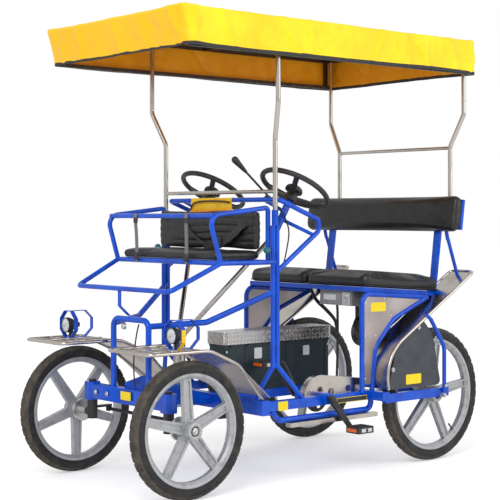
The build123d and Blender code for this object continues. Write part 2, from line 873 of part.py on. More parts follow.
with BuildPart() as bench_cushions:
    with BuildSketch(bench_plane):
        with Locations(
            (cushion_half_width / 2 + cushion_seam / 4, (bench_rear - bench_front) / 2),
            (-cushion_half_width / 2 - cushion_seam / 4, (bench_rear - bench_front) / 2),
        ):
            RectangleRounded(cushion_half_width - cushion_seam, bench_rear - bench_front, cushion_edge * 1.5)
    extrude(amount=cushion_height)
    fillet(bench_cushions.faces().sort_by(Axis.Z)[-2:].edges(), cushion_edge)
    add(rear_mudguards.part, mode=Mode.SUBTRACT)

# Backrest: a padded board, leaning back, with its flat supports, end frames and braces
back_plane = Plane(
    origin=place(0, backrest_behind, backrest_bottom_up),
    x_dir=(1, 0, 0),
    z_dir=(0, -math.cos(math.radians(backrest_lean)), math.sin(math.radians(backrest_lean))),
)
backrest_height = backrest_top_up - backrest_bottom_up
backrest_edge = 14
bench_rear_edge = bench_front + (bench_rear - bench_front) * math.cos(math.radians(bench_tilt))
support_foot_behind = bench_rear_edge + seat_gap + support_thickness / 2
rear_guard_rise_share = (rear_guard_tip_up - rear_guard_corner_up) / (rear_guard_tip - rear_guard_corner)
support_foot_up = rear_guard_tip_up - (rear_guard_tip - support_foot_behind) * rear_guard_rise_share + sheet
back_brace_x = 392
back_brace_foot_behind = 1520
back_brace_foot_up = 791
back_brace_head_behind = 1452
back_brace_head_up = 968
brace_thin = 16

with BuildPart() as backrest_pad:
    with BuildSketch(back_plane):
        with Locations((0, backrest_height / 2)):
            RectangleRounded(2 * backrest_half_width, backrest_height, backrest_edge)
    extrude(amount=backrest_thickness)
    fillet(backrest_pad.faces().filter_by(GeomType.PLANE).sort_by(Axis.Y)[0].edges(), backrest_edge)

with BuildPart() as backrest_frame:
    with BuildSketch(back_plane):
        for level in (brace_thin, backrest_height - brace_thin):
            with Locations((0, level)):
                Rectangle(2 * backrest_half_width - brace_thin, brace_thin)
        for side in (1, -1):
            with Locations((side * (backrest_half_width - brace_thin), backrest_height / 2)):
                Rectangle(brace_thin, backrest_height - brace_thin)
            with Locations((side * support_x, backrest_height / 2)):
                Rectangle(support_width, backrest_height - brace_thin)
    extrude(amount=-brace_thin)
    for side in (1, -1):
        with BuildSketch(side_plane(side * support_x)):
            with BuildLine():
                Polyline(
                    (support_foot_behind - support_thickness / 2, support_foot_up),
                    (support_foot_behind + support_thickness / 2, support_foot_up),
                    (backrest_behind + support_thickness + brace_thin / 2, backrest_bottom_up + brace_thin),
                    (backrest_behind + brace_thin / 4, backrest_bottom_up + brace_thin),
                    close=True,
                )
            make_face()
        extrude(amount=support_width / 2, both=True)
        add(
            tube(
                [
                    place(side * back_brace_x, back_brace_foot_behind, back_brace_foot_up),
                    place(side * back_brace_x, back_brace_head_behind, back_brace_head_up),
                ],
                brace_thin,
            )
        )
    add(backrest_pad.part, mode=Mode.SUBTRACT)
    add(bench_cushions.part, mode=Mode.SUBTRACT)
    add(bench_frame.part, mode=Mode.SUBTRACT)
    add(side_panels.part, mode=Mode.SUBTRACT)
    add(rear_mudguards.part, mode=Mode.SUBTRACT)

# Canopy: its four bent poles with two cross bars, the light frame below the cloth, and the cloth shell
pole_front_behind = 453
pole_front_low_x = 364
pole_front_high_x = 421
pole_front_high_behind = 419
pole_kink_low_up = 1380
pole_kink_high_up = 1519
pole_rear_behind = 1508
pole_rear_low_x = 356
pole_rear_high_x = 428
pole_rear_high_behind = 1517
pole_rear_foot_up = 1010
pole_bend = 50
front_bar_up = 1166
rear_bar_up = 1374
canopy_half_width = 470
canopy_front = -56
canopy_rear = 1544
canopy_hem_up = 1697
canopy_depth = 149
canopy_top_up = canopy_hem_up + canopy_depth
canopy_nose = 40
canopy_frame_tube = 16
cloth = 4
canopy_frame_inset = cloth + seat_gap
canopy_frame_up = canopy_top_up - cloth - seat_gap - canopy_frame_tube / 2
canopy_side_x = canopy_half_width - canopy_frame_inset - canopy_frame_tube / 2
canopy_side_up = canopy_hem_up + canopy_frame_tube / 2
canopy_side_front = canopy_front + canopy_frame_inset
canopy_side_rear = canopy_rear - canopy_frame_inset
pole_top_up = canopy_frame_up

with BuildPart() as canopy_frame:
    with BuildSketch(level_plane(canopy_frame_up)):
        with Locations((0, (canopy_front + canopy_rear) / 2)):
            RectangleRounded(
                2 * (canopy_half_width - canopy_frame_inset),
                canopy_rear - canopy_front - 2 * canopy_frame_inset,
                canopy_frame_tube * 2,
            )
            RectangleRounded(
                2 * (canopy_half_width - canopy_frame_inset - canopy_frame_tube),
                canopy_rear - canopy_front - 2 * canopy_frame_inset - 2 * canopy_frame_tube,
                canopy_frame_tube,
                mode=Mode.SUBTRACT,
            )
        for bar_behind in (pole_front_high_behind, (canopy_front + canopy_rear) / 2, pole_rear_high_behind - 2 * cloth):
            with Locations((0, bar_behind)):
                Rectangle(2 * (canopy_half_width - canopy_frame_inset) - canopy_frame_tube, canopy_frame_tube)
    extrude(amount=canopy_frame_tube / 2, both=True)
    for side in (1, -1):
        with Locations(place(side * canopy_side_x, (canopy_side_front + canopy_side_rear) / 2, canopy_side_up)):
            Box(canopy_frame_tube, canopy_side_rear - canopy_side_front, canopy_frame_tube)
        for end_behind in (canopy_side_front + canopy_frame_tube * 2, canopy_side_rear - canopy_frame_tube * 2):
            with Locations(place(side * canopy_side_x, end_behind, (canopy_side_up + canopy_frame_up) / 2)):
                Box(canopy_frame_tube, canopy_frame_tube, canopy_frame_up - canopy_side_up)

with BuildPart() as canopy_poles:
    for side in (1, -1):
        add(
            tube(
                [
                    place(side * pole_front_low_x, pole_front_behind, post_top_up + socket_height + seat_gap),
                    place(side * pole_front_low_x, pole_front_behind, pole_kink_low_up),
                    place(side * pole_front_high_x, pole_front_high_behind, pole_kink_high_up),
                    place(side * pole_front_high_x, pole_front_high_behind, pole_top_up),
                ],
                pole_tube,
                pole_bend,
            )
        )
        add(
            tube(
                [
                    place(side * pole_rear_low_x, pole_rear_behind, pole_rear_foot_up),
                    place(side * pole_rear_low_x, pole_rear_behind, pole_kink_low_up),
                    place(side * pole_rear_high_x, pole_rear_high_behind, pole_kink_high_up),
                    place(side * pole_rear_high_x, pole_rear_high_behind, pole_top_up),
                ],
                pole_tube,
                pole_bend,
            )
        )
    for bar_x, bar_behind, bar_up in (
        (pole_front_low_x, pole_front_behind, front_bar_up),
        (pole_rear_low_x, pole_rear_behind, rear_bar_up),
    ):
        add(tube([place(-bar_x, bar_behind, bar_up), place(bar_x, bar_behind, bar_up)], brace_thin))
    add(canopy_frame.part, mode=Mode.SUBTRACT)

with BuildPart() as canopy:
    with BuildSketch(side_plane(0)):
        with BuildLine():
            Polyline(
                (canopy_front, canopy_hem_up),
                (canopy_front - canopy_nose, canopy_top_up),
                (canopy_rear + cloth, canopy_top_up),
                (canopy_rear, canopy_hem_up),
                close=True,
            )
        make_face()
    extrude(amount=canopy_half_width, both=True)
    offset(amount=-cloth, openings=canopy.faces().sort_by(Axis.Z)[0])

# Dashboard: the tube across, the side loops that carry the steering columns, struts and a bent plate
dash_up = 1134
dash_behind = pole_front_behind + pole_tube / 2 + seat_gap + 10
dash_loop_rear = 690
dash_loop_up = 1052
dash_loop_low = 1006
dash_foot_up = 846
column_x = 270
column_foot_behind = 540
column_foot_up = 1010
column_head_behind = 611
column_head_up = 1128
column_tube = 30
column_wall = 4
dash_tube = 20
dash_strut_tube = 15
dash_strut_reach = 30
column_strut_up = 1055
column_strut_behind = 567

with BuildPart() as dash_frame:
    half_loop = (
        (post_x, dash_behind, dash_up),
        (post_x, dash_loop_rear, dash_loop_up),
        (post_x, dash_loop_rear, dash_loop_low),
        (post_x, post_behind + post_pair_offset, dash_foot_up),
    )
    right_loop = [place(-x, behind, up) for x, behind, up in reversed(half_loop)]
    add(tube(right_loop + [place(*point) for point in half_loop], dash_tube, dash_tube))
    for side in (1, -1):
        loop_corner = place(side * post_x, dash_loop_rear, dash_loop_low)
        loop_foot = place(side * post_x, post_behind + post_pair_offset, dash_foot_up)
        add(
            tube(
                [
                    place(side * column_x, column_foot_behind, column_foot_up),
                    place(side * column_x, column_head_behind, column_head_up),
                ],
                column_tube,
            )
        )
        add(
            tube(
                [
                    place(side * column_x, column_strut_behind, column_strut_up),
                    loop_corner + (loop_foot - loop_corner).normalized() * dash_strut_reach,
                ],
                dash_strut_tube,
            )
        )
        add(
            tube(
                [
                    place(side * column_x, column_strut_behind + dash_tube, column_strut_up + 1.5 * dash_tube),
                    place(side * column_x, dash_behind, dash_up),
                ],
                dash_strut_tube,
            )
        )
    # the bores of the steering columns
    for side in (1, -1):
        foot = place(side * column_x, column_foot_behind, column_foot_up)
        head = place(side * column_x, column_head_behind, column_head_up)
        with BuildSketch(Plane(origin=foot, z_dir=head - foot)):
            Circle(column_tube / 2 - column_wall)
        extrude(amount=(head - foot).length + overrun, both=True, mode=Mode.SUBTRACT)
    add(front_frame.part, mode=Mode.SUBTRACT)
    add(canopy_poles.part, mode=Mode.SUBTRACT)

# Dash plate: a bent sheet hung from the dash tube
dash_plate_x = -55
dash_plate_width = 271
dash_plate_height = 78
dash_plate_fold = 36
dash_plate_thickness = 4
dash_plate_behind = dash_behind - dash_tube / 2 - seat_gap

with BuildPart() as dash_plate:
    with BuildSketch(side_plane(dash_plate_x)):
        with BuildLine():
            Polyline(
                (dash_plate_behind, dash_up + dash_tube / 2),
                (dash_plate_behind - dash_plate_thickness, dash_up + dash_tube / 2),
                (dash_plate_behind - dash_plate_thickness, dash_up - dash_plate_height / 2),
                (dash_plate_behind - dash_plate_fold, dash_up - dash_plate_height),
                (dash_plate_behind - dash_plate_fold + dash_plate_thickness, dash_up - dash_plate_height),
                (dash_plate_behind, dash_up - dash_plate_height / 2),
                close=True,
            )
        make_face()
    extrude(amount=dash_plate_width / 2, both=True)

# Steering wheels: rim, three spokes, domed hub and the shaft in the column
steering_rim_radius = 144
steering_rim_tube = 22
steering_hub_radius = 34
steering_hub_height = 46
steering_hub_share = 0.6
steering_turn = -12
steering_spoke_width = 22
steering_spoke_thickness = 7
steering_spoke_count = 3
column_top_gap = 0.3
steering_dish_up = 62


def steering_wheel(x):
    """A three-spoke steering wheel with its shaft through the column at the place x."""
    foot = place(x, column_foot_behind, column_foot_up)
    head = place(x, column_head_behind, column_head_up)
    upward = (head - foot).normalized()
    base = Plane(origin=head + upward * column_top_gap, x_dir=(1, 0, 0), z_dir=upward)
    with BuildPart(mode=Mode.PRIVATE) as wheel:
        with BuildSketch(base.offset(-(head - foot).length - 2 * column_top_gap)):
            Circle(column_tube / 2 - column_wall - running_clearance)
        extrude(amount=(head - foot).length + 3 * column_top_gap)
        with BuildSketch(base):
            Circle(steering_hub_radius)
        with BuildSketch(base.offset(steering_hub_height)):
            Circle(steering_hub_radius * steering_hub_share)
        loft()
        rim_plane = base.offset(steering_dish_up)
        with BuildLine(rim_plane):
            CenterArc((0, 0), steering_rim_radius, 0, 360)
        with BuildSketch(Plane(origin=rim_plane.from_local_coords((steering_rim_radius, 0, 0)), z_dir=rim_plane.y_dir)):
            Circle(steering_rim_tube / 2)
        sweep()
        for number in range(steering_spoke_count):
            angle = math.radians(90 + steering_turn + number * 360 / steering_spoke_count)
            outward = base.x_dir * math.cos(angle) + base.y_dir * math.sin(angle)
            with BuildSketch(Plane(origin=base.origin, x_dir=outward, z_dir=outward.cross(upward))):
                with BuildLine():
                    Polyline(
                        (steering_hub_radius / 2, steering_hub_height / 2),
                        (steering_rim_radius, steering_dish_up - steering_spoke_thickness / 2),
                        (steering_rim_radius, steering_dish_up + steering_spoke_thickness / 2),
                        (steering_hub_radius / 2, steering_hub_height / 2 + steering_spoke_thickness),
                        close=True,
                    )
                make_face()
            extrude(amount=steering_spoke_width / 2, both=True)
    return wheel.part


with BuildPart() as steering_wheel_left:
    add(steering_wheel(column_x))
with BuildPart() as steering_wheel_right:
    add(steering_wheel(-column_x))

# Lower steering shafts: a joint below each column and a shaft down to the housing on the spine
joint_radius = 15
joint_length = 40
lower_shaft = 20
lower_shaft_x = 10
lower_shaft_behind = 250
lower_shaft_up = 570
housing_radius = 25
housing_top_up = 600
joint_gap = 3

with BuildPart() as steering_shafts:
    with Locations(place(0, lower_shaft_behind, (housing_top_up + spine_top_up) / 2)):
        Cylinder(housing_radius, housing_top_up - spine_top_up)
    for side in (1, -1):
        column_foot = place(side * column_x, column_foot_behind, column_foot_up)
        column_head = place(side * column_x, column_head_behind, column_head_up)
        downward = (column_foot - column_head).normalized()
        joint_top = column_foot + downward * joint_gap
        joint_middle = joint_top + downward * joint_length / 2
        with BuildSketch(Plane(origin=joint_top, z_dir=downward)):
            Circle(joint_radius)
        extrude(amount=joint_length)
        add(tube([joint_middle, place(side * lower_shaft_x, lower_shaft_behind, lower_shaft_up)], lower_shaft))
    add(chassis_frame.part, mode=Mode.SUBTRACT)

# Child seat: rails out to the footrest, arms with their gussets, the front bar, and the back frame
child_x = 348
child_front_behind = 187
child_seat_up = 884
child_arm_top_up = 1101
child_arm_front = 130
child_upright_x = 346
child_upright_behind = 430
child_upright_bend = 14
strip_x = -15
strip_width = 20
strip_thickness = 4
strip_bend_up = 711
footrest_x = 316
footrest_behind = -36
footrest_up = 780
footrest_bend = 26
child_bar_up = 1068
child_arm_bend = 42
child_bar_x = 345
child_tube = 20
child_bar_tube = 20
cushion_roll = 40
child_cushion_up = child_seat_up + child_tube / 2 + seat_gap
child_cushion_front = 182
child_cushion_rear = 424
child_cushion_half = 322
child_back_thickness = 42
child_back_top_up = 1088
child_back_behind = 380

with BuildPart() as child_seat_frame:
    for side in (1, -1):
        add(
            tube(
                [
                    place(side * post_x, post_behind, child_seat_up),
                    place(side * child_x, child_front_behind, child_seat_up),
                    place(side * footrest_x, footrest_behind, footrest_up),
                    place(0, footrest_behind, footrest_up),
                ],
                child_tube,
                footrest_bend,
            )
        )
        add(
            tube(
                [
                    place(side * child_upright_x, child_upright_behind, child_seat_up),
                    place(side * child_upright_x, child_upright_behind, child_arm_top_up),
                    place(side * child_bar_x, child_arm_front, child_bar_up),
                    place(side * child_x, child_front_behind, child_seat_up),
                ],
                child_tube,
                [child_upright_bend, child_arm_bend],
            )
        )
    for behind in (child_front_behind, post_behind - 2 * child_tube):
        add(tube([place(-child_x, behind, child_seat_up), place(child_x, behind, child_seat_up)], child_tube))
    add(
        tube(
            [
                place(-child_bar_x, child_arm_front + child_tube, child_bar_up),
                place(child_bar_x, child_arm_front + child_tube, child_bar_up),
            ],
            child_bar_tube,
        )
    )
    # the strip from the footrest down to the hoop
    with BuildSketch(side_plane(strip_x)):
        with BuildLine():
            Polyline(
                (footrest_behind, footrest_up),
                (footrest_behind, strip_bend_up),
                (hoop_behind, hoop_top_up + brace_tube / 2 + strip_thickness),
            )
        trace(line_width=strip_thickness)
    extrude(amount=strip_width / 2, both=True)
    add(front_frame.part, mode=Mode.SUBTRACT)
    add(dash_frame.part, mode=Mode.SUBTRACT)
    add(canopy_poles.part, mode=Mode.SUBTRACT)

with BuildPart() as child_seat_cushion:
    with BuildSketch(level_plane(child_cushion_up)):
        with Locations((0, (child_cushion_front + child_cushion_rear) / 2)):
            RectangleRounded(2 * child_cushion_half, child_cushion_rear - child_cushion_front, cushion_roll / 2)
    extrude(amount=cushion_roll)
    fillet(child_seat_cushion.faces().sort_by(Axis.Z)[-1].edges(), cushion_roll / 3)

with BuildPart() as child_backrest:
    with BuildSketch(front_plane(child_back_behind + child_back_thickness)):
        with Locations((0, (child_back_top_up + child_cushion_up + cushion_roll + seat_gap) / 2)):
            RectangleRounded(
                2 * child_cushion_half,
                child_back_top_up - child_cushion_up - cushion_roll - seat_gap,
                child_back_thickness / 3,
            )
    extrude(amount=child_back_thickness)
    add(dash_plate.part, mode=Mode.SUBTRACT)

# Battery case under the bench, drive motor, chain guards, side boards, plates and the hand brake
battery_x = 182
battery_length = 200
battery_depth = 120
battery_height = 64
motor_hanger = 6
motor_hanger_width = 60
motor_behind = 1096
motor_up = 560
motor_radius = 62
motor_length = 92
chain_guard_x = post_x - rail_width / 2 - seat_gap
chain_guard_width = 30
chain_guard_radius = 92
chain_guard_rear = 968
chain_guard_rear_height = 60
chain_guard_sheet = 3
board_x = post_x + 12
board_front = 512
board_rear = 1008
board_width = 30
board_height = 18
board_up = low_rail_up - brace_tube / 2 - seat_gap - board_height / 2
wheel_guard_x = 458
wheel_guard_thickness = 3
wheel_guard_length = 328
wheel_guard_low_up = 336
wheel_guard_mid_up = 516
wheel_guard_top_up = 620
wheel_guard_rear_up = 558
wheel_guard_corner = 20
guard_front_share = 0.15
guard_top_share = 0.66
guard_rear_share = 0.84
plate_front = 776
plate_rear = 952
plate_height = 22
plate_up = 303
plate_thickness = 3
plate_x = post_x + rail_width / 2 + seat_gap
brake_lever_x = 266
brake_base_behind = 500
brake_base_up = 1149
brake_knob_behind = 326
brake_knob_up = 1291
brake_rod = 9
brake_bracket = 14
brake_knob_radius = 14
brake_grip_length = 74

with BuildPart() as battery_case:
    with BuildSketch(bench_plane.offset(-bench_tube - seat_gap)):
        with Locations((battery_x, battery_depth / 2 + bench_tube)):
            RectangleRounded(battery_length, battery_depth, sheet * 2)
    extrude(amount=-battery_height)

with BuildPart() as drive_motor:
    with BuildSketch(side_plane(bench_rib_x + motor_hanger / 2)):
        with Locations((motor_behind, motor_up)):
            Circle(motor_radius)
    extrude(amount=motor_length)
    with BuildSketch(side_plane(bench_rib_x)):
        with Locations((motor_behind, (motor_up + bench_front_up - bench_tube) / 2)):
            Rectangle(motor_hanger_width, bench_front_up - bench_tube - motor_up)
    extrude(amount=motor_hanger / 2, both=True)
    add(bench_frame.part, mode=Mode.SUBTRACT)
    add(battery_case.part, mode=Mode.SUBTRACT)

with BuildPart() as chain_guards:
    for side in (1, -1):
        # the sheet beside the chain, then the rim that covers it
        for inset, depth in ((0, chain_guard_sheet), (chain_guard_sheet, chain_guard_width)):
            with BuildSketch(side_plane(side * chain_guard_x)) as guard_outline:
                with Locations((crank_behind, crank_up)):
                    Circle(chain_guard_radius)
                with BuildLine():
                    Polyline(
                        (crank_behind, crank_up),
                        (crank_behind, crank_up + chain_guard_radius),
                        (chain_guard_rear, crank_up + chain_guard_rear_height),
                        (chain_guard_rear, crank_up),
                        close=True,
                    )
                make_face()
                if inset:
                    with Locations((crank_behind, crank_up)):
                        Circle(chain_guard_radius - inset, mode=Mode.SUBTRACT)
                    with BuildLine():
                        Polyline(
                            (crank_behind, crank_up),
                            (crank_behind, crank_up + chain_guard_radius - inset),
                            (chain_guard_rear, crank_up + chain_guard_rear_height - inset),
                            (chain_guard_rear, crank_up),
                            close=True,
                        )
                    make_face(mode=Mode.SUBTRACT)
                with Locations((crank_behind, crank_up - chain_guard_radius)):
                    Rectangle(4 * chain_guard_rear, 2 * chain_guard_radius, mode=Mode.SUBTRACT)
                with Locations((crank_behind, crank_up)):
                    Circle(shell_diameter / 2 + seat_gap, mode=Mode.SUBTRACT)
            extrude(amount=-side * depth)
    add(chassis_frame.part, mode=Mode.SUBTRACT)

with BuildPart() as side_boards:
    with Locations(
        place(board_x, (board_front + board_rear) / 2, board_up),
        place(-board_x, (board_front + board_rear) / 2, board_up),
    ):
        Box(board_width, board_rear - board_front, board_height)

with BuildPart() as wheel_guards:
    for side in (1, -1):
        with BuildSketch(side_plane(side * wheel_guard_x)) as wheel_guard_outline:
            with BuildLine():
                Polyline(
                    (rear_guard_low, wheel_guard_low_up),
                    (rear_guard_low + guard_front_share * wheel_guard_length, wheel_guard_mid_up),
                    (rear_guard_low + guard_top_share * wheel_guard_length, wheel_guard_top_up),
                    (rear_guard_low + guard_rear_share * wheel_guard_length, wheel_guard_rear_up),
                    (rear_guard_low + wheel_guard_length, wheel_guard_low_up),
                    close=True,
                )
            make_face()
            fillet(wheel_guard_outline.vertices(), wheel_guard_corner)
        extrude(amount=wheel_guard_thickness / 2, both=True)
    add(rear_mudguards.part, mode=Mode.SUBTRACT)
    add(chassis_frame.part, mode=Mode.SUBTRACT)

with BuildPart() as name_plates:
    with Locations(
        place(plate_x + plate_thickness / 2, (plate_front + plate_rear) / 2, plate_up),
        place(-plate_x - plate_thickness / 2, (plate_front + plate_rear) / 2, plate_up),
    ):
        Box(plate_thickness, plate_rear - plate_front, plate_height)

with BuildPart() as brake_lever:
    lever_base = place(brake_lever_x, brake_base_behind, brake_base_up)
    lever_knob = place(brake_lever_x, brake_knob_behind, brake_knob_up)
    lever_way = (lever_base - lever_knob).normalized()
    add(tube([place(brake_lever_x, dash_behind, dash_up), lever_base], brake_bracket))
    add(tube([lever_base + lever_way * brake_rod, lever_knob], brake_rod))
    with BuildSketch(Plane(origin=lever_knob, z_dir=lever_way)):
        Circle(brake_knob_radius)
    with BuildSketch(Plane(origin=lever_knob + lever_way * brake_grip_length, z_dir=lever_way)):
        Circle(brake_rod / 2 + cloth / 2)
    loft()
    with Locations(lever_knob):
        Sphere(brake_knob_radius)
    add(dash_frame.part, mode=Mode.SUBTRACT)

pieces = {
    "front_beam": front_beam.part,
    "chassis_frame": chassis_frame.part,
    "front_frame": front_frame.part,
    "front_mudguards": front_mudguards.part,
    "headlamps": headlamps.part,
    "lamp_guards": lamp_guards.part,
    "storage_box": storage_box.part,
    "box_lid": box_lid.part,
    "side_panels": side_panels.part,
    "rear_mudguards": rear_mudguards.part,
    "rear_axles": rear_axles.part,
    "bench_frame": bench_frame.part,
    "bench_cushions": bench_cushions.part,
    "backrest_pad": backrest_pad.part,
    "backrest_frame": backrest_frame.part,
    "canopy_frame": canopy_frame.part,
    "canopy_poles": canopy_poles.part,
    "canopy": canopy.part,
    "dash_frame": dash_frame.part,
    "dash_plate": dash_plate.part,
    "child_seat_frame": child_seat_frame.part,
    "child_seat_cushion": child_seat_cushion.part,
    "child_backrest": child_backrest.part,
    "battery_case": battery_case.part,
    "drive_motor": drive_motor.part,
    "chain_guards": chain_guards.part,
    "side_boards": side_boards.part,
    "wheel_guards": wheel_guards.part,
    "name_plates": name_plates.part,
    "brake_lever": brake_lever.part,
    "knuckle_left": knuckle_left.part,
    "knuckle_right": knuckle_right.part,
    "tie_rod": tie_rod.part,
    "steering_shafts": steering_shafts.part,
    "steering_wheel_left": steering_wheel_left.part,
    "steering_wheel_right": steering_wheel_right.part,
    "cranks_left": cranks_left.part,
    "cranks_right": cranks_right.part,
    "pedal_left_outer": pedal_left_outer.part,
    "pedal_left_inner": pedal_left_inner.part,
    "pedal_right_outer": pedal_right_outer.part,
    "pedal_right_inner": pedal_right_inner.part,
    **wheel_parts,
}

# Off-cuts that fell from a piece where it was cut to fit its neighbours are left out
offcut_volume = 3000

os.makedirs("parts", exist_ok=True)
for name, piece in pieces.items():
    kept = Compound([solid for solid in piece.solids() if solid.volume > offcut_volume], label=name)
    export_step(kept, f"parts/{name}.step")
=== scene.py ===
"""The looks of a four-wheeled pedal quadricycle: finishes, cloth, tyres, lamps and fittings around its CAD frame."""

import itertools
import math

import bmesh
import bpy
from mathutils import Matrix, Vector, noise


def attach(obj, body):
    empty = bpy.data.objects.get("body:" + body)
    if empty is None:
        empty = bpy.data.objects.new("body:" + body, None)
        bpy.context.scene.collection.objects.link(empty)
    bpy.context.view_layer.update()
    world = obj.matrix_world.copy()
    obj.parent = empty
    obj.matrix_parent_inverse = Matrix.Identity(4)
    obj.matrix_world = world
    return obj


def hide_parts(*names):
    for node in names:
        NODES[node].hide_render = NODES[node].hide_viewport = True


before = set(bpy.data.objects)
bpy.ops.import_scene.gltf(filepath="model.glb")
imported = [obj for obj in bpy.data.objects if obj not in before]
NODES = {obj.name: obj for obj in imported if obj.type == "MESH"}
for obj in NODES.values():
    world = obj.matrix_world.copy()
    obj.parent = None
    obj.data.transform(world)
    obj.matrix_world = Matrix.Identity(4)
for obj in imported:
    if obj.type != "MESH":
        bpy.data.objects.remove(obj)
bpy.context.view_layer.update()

MM = 0.001
FRONT_AXLE_Y = -0.6785
SIDES = ((1, "left"), (-1, "right"))
LEFTWARD, BACKWARD, AHEAD, UPWARD = (1, 0, 0), (0, 1, 0), (0, -1, 0), (0, 0, 1)


def place(x, behind, up):
    """A point in metres, from millimetres left of the middle, behind the front axle and above the floor."""
    return Vector((x * MM, FRONT_AXLE_Y + behind * MM, up * MM))


def places(*points):
    return [place(*point) for point in points]


# Shader maths


def operation(kind, swapped=False):
    """A method that adds the maths node of this kind to its value's node tree."""

    def work(self, *others):
        values = (self, *others)
        inputs = dict(enumerate(values[::-1] if swapped else values))
        return self.finish.node("ShaderNodeMath", {"operation": kind}, inputs)[0]

    return work


class Value:
    """One socket of a material's node tree; sums and products of values add the nodes that work them out."""

    def __init__(self, finish, socket):
        self.finish = finish
        self.socket = socket

    __add__ = __radd__ = operation("ADD")
    __sub__ = operation("SUBTRACT")
    __rsub__ = operation("SUBTRACT", swapped=True)
    __mul__ = __rmul__ = operation("MULTIPLY")
    __truediv__ = operation("DIVIDE")
    __pow__ = operation("POWER")
    fraction = operation("FRACT")
    whole = operation("FLOOR")
    sine = operation("SINE")
    size = operation("ABSOLUTE")

    def ramp(self, low, high):
        """0 at low, 1 at high, smooth between them."""
        settings = {"interpolation_type": "SMOOTHSTEP"}
        inputs = {"Value": self, "From Min": low, "From Max": high, "To Min": 0, "To Max": 1}
        return self.finish.node("ShaderNodeMapRange", settings, inputs)["Result"]


class Made:
    """A node that has been made; its outputs are read by name or number."""

    def __init__(self, finish, node):
        self.finish = finish
        self.node = node

    def __getitem__(self, key):
        return Value(self.finish, self.node.outputs[key])


class Finish:
    """A material with one Principled surface."""

    def __init__(self, name, **surface):
        self.material = bpy.data.materials.new(name)
        self.material.use_nodes = True
        self.tree = self.material.node_tree
        self.surface = self.tree.nodes["Principled BSDF"]
        self.point = self.node("ShaderNodeTexCoord")["Object"]
        for key, value in surface.items():
            self.set(key.replace("_", " ").title().replace("Ior", "IOR"), value)

    def connect(self, socket, value):
        if isinstance(value, Value):
            self.tree.links.new(value.socket, socket)
        else:
            socket.default_value = value

    def node(self, kind, settings=(), inputs=()):
        made = self.tree.nodes.new(kind)
        for key, value in dict(settings).items():
            setattr(made, key, value)
        for key, value in dict(inputs).items():
            self.connect(made.inputs[key], value)
        return Made(self, made)

    def set(self, name, value):
        if name == "Base Color" and not isinstance(value, Value):
            value = (*value, 1)
        self.connect(self.surface.inputs[name], value)

    def scaled(self, x, y, z):
        return self.node("ShaderNodeVectorMath", {"operation": "MULTIPLY"}, {0: self.point, 1: (x, y, z)})[0]

    def axes(self, vector=None):
        parts = self.node("ShaderNodeSeparateXYZ", (), {0: vector or self.point})
        return parts["X"], parts["Y"], parts["Z"]

    def geometry(self, output):
        return self.node("ShaderNodeNewGeometry")[output]

    def clouds(self, scale, detail=3, roughness=0.5, point=None):
        inputs = {"Vector": point or self.point, "Scale": scale, "Detail": detail, "Roughness": roughness}
        return self.node("ShaderNodeTexNoise", (), inputs)["Fac"]

    def cells(self, scale, feature="F1"):
        inputs = {"Vector": self.point, "Scale": scale, "Randomness": 1}
        return self.node("ShaderNodeTexVoronoi", {"feature": feature}, inputs)["Distance"]

    def mix(self, share, low, high):
        low, high = (tone if isinstance(tone, Value) else (*tone, 1) for tone in (low, high))
        settings = {"data_type": "RGBA", "blend_type": "MIX"}
        return self.node("ShaderNodeMix", settings, {0: share, 6: low, 7: high})[2]

    def coat(self, colour, roughness, height, depth, strength):
        """The material in this colour and roughness, with relief of the height, whose white is depth mm high."""
        self.set("Base Color", colour)
        self.set("Roughness", roughness)
        inputs = {"Height": height, "Distance": depth * MM, "Strength": strength}
        self.set("Normal", self.node("ShaderNodeBump", (), inputs)["Normal"])
        return self.material


# Finishes

# Sprayed enamel: slight orange peel, a darker tone in patches and a film of dust low down
paint = Finish("royal_blue_enamel", specular_ior_level=0.32, coat_roughness=0.05)
dust = paint.axes()[2].ramp(0.42, 0.2) * paint.clouds(45, 5, 0.65).ramp(0.5, 0.75) * 0.35
tone = paint.mix(paint.clouds(9, 4).ramp(0.35, 0.65), (0.0, 0.060, 0.50), (0.0, 0.088, 0.66))
paint.set("Coat Weight", 0.25 - dust * 0.5)
roughness = paint.clouds(160, 2) * 0.12 + 0.16 + dust * 0.4
BLUE = paint.coat(paint.mix(dust, tone, (0.20, 0.17, 0.13)), roughness, paint.clouds(420, 2), 0.12, 0.5)

# Drawn and polished stainless tube: long faint draw lines and fingermarks
steel = Finish("polished_stainless", metallic=1.0)
lines = steel.clouds(30, 4, 0.6, steel.scaled(40, 40, 1.5))
marks = steel.clouds(14, 5).ramp(0.45, 0.7)
tone = steel.mix(marks * 0.5, (0.56, 0.52, 0.48), (0.42, 0.39, 0.36))
STEEL = steel.coat(tone, lines * 0.12 + marks * 0.1 + 0.14, lines, 0.08, 0.5)

# Silver-grey paint on a casting: fine grain, and brake dust in patches
paint = Finish("silver_cast_alloy", metallic=0.55)
grain = paint.cells(900)
dust = paint.clouds(30, 5, 0.6).ramp(0.45, 0.72)
tone = paint.mix(dust * 0.55, (0.46, 0.47, 0.49), (0.27, 0.265, 0.26))
CAST = paint.coat(tone, dust * 0.2 + grain * 0.1 + 0.36, grain, 0.2, 0.35)

# Black rubber greyed by road dust, with fine moulding grain
rubber = Finish("tyre_rubber", specular_ior_level=0.35)
dust = rubber.clouds(22, 6, 0.62).ramp(0.4, 0.75)
tone = rubber.mix(dust, (0.018, 0.018, 0.019), (0.055, 0.052, 0.048))
RUBBER = rubber.coat(tone, dust * 0.2 + 0.62, rubber.clouds(900, 3), 0.2, 0.5)


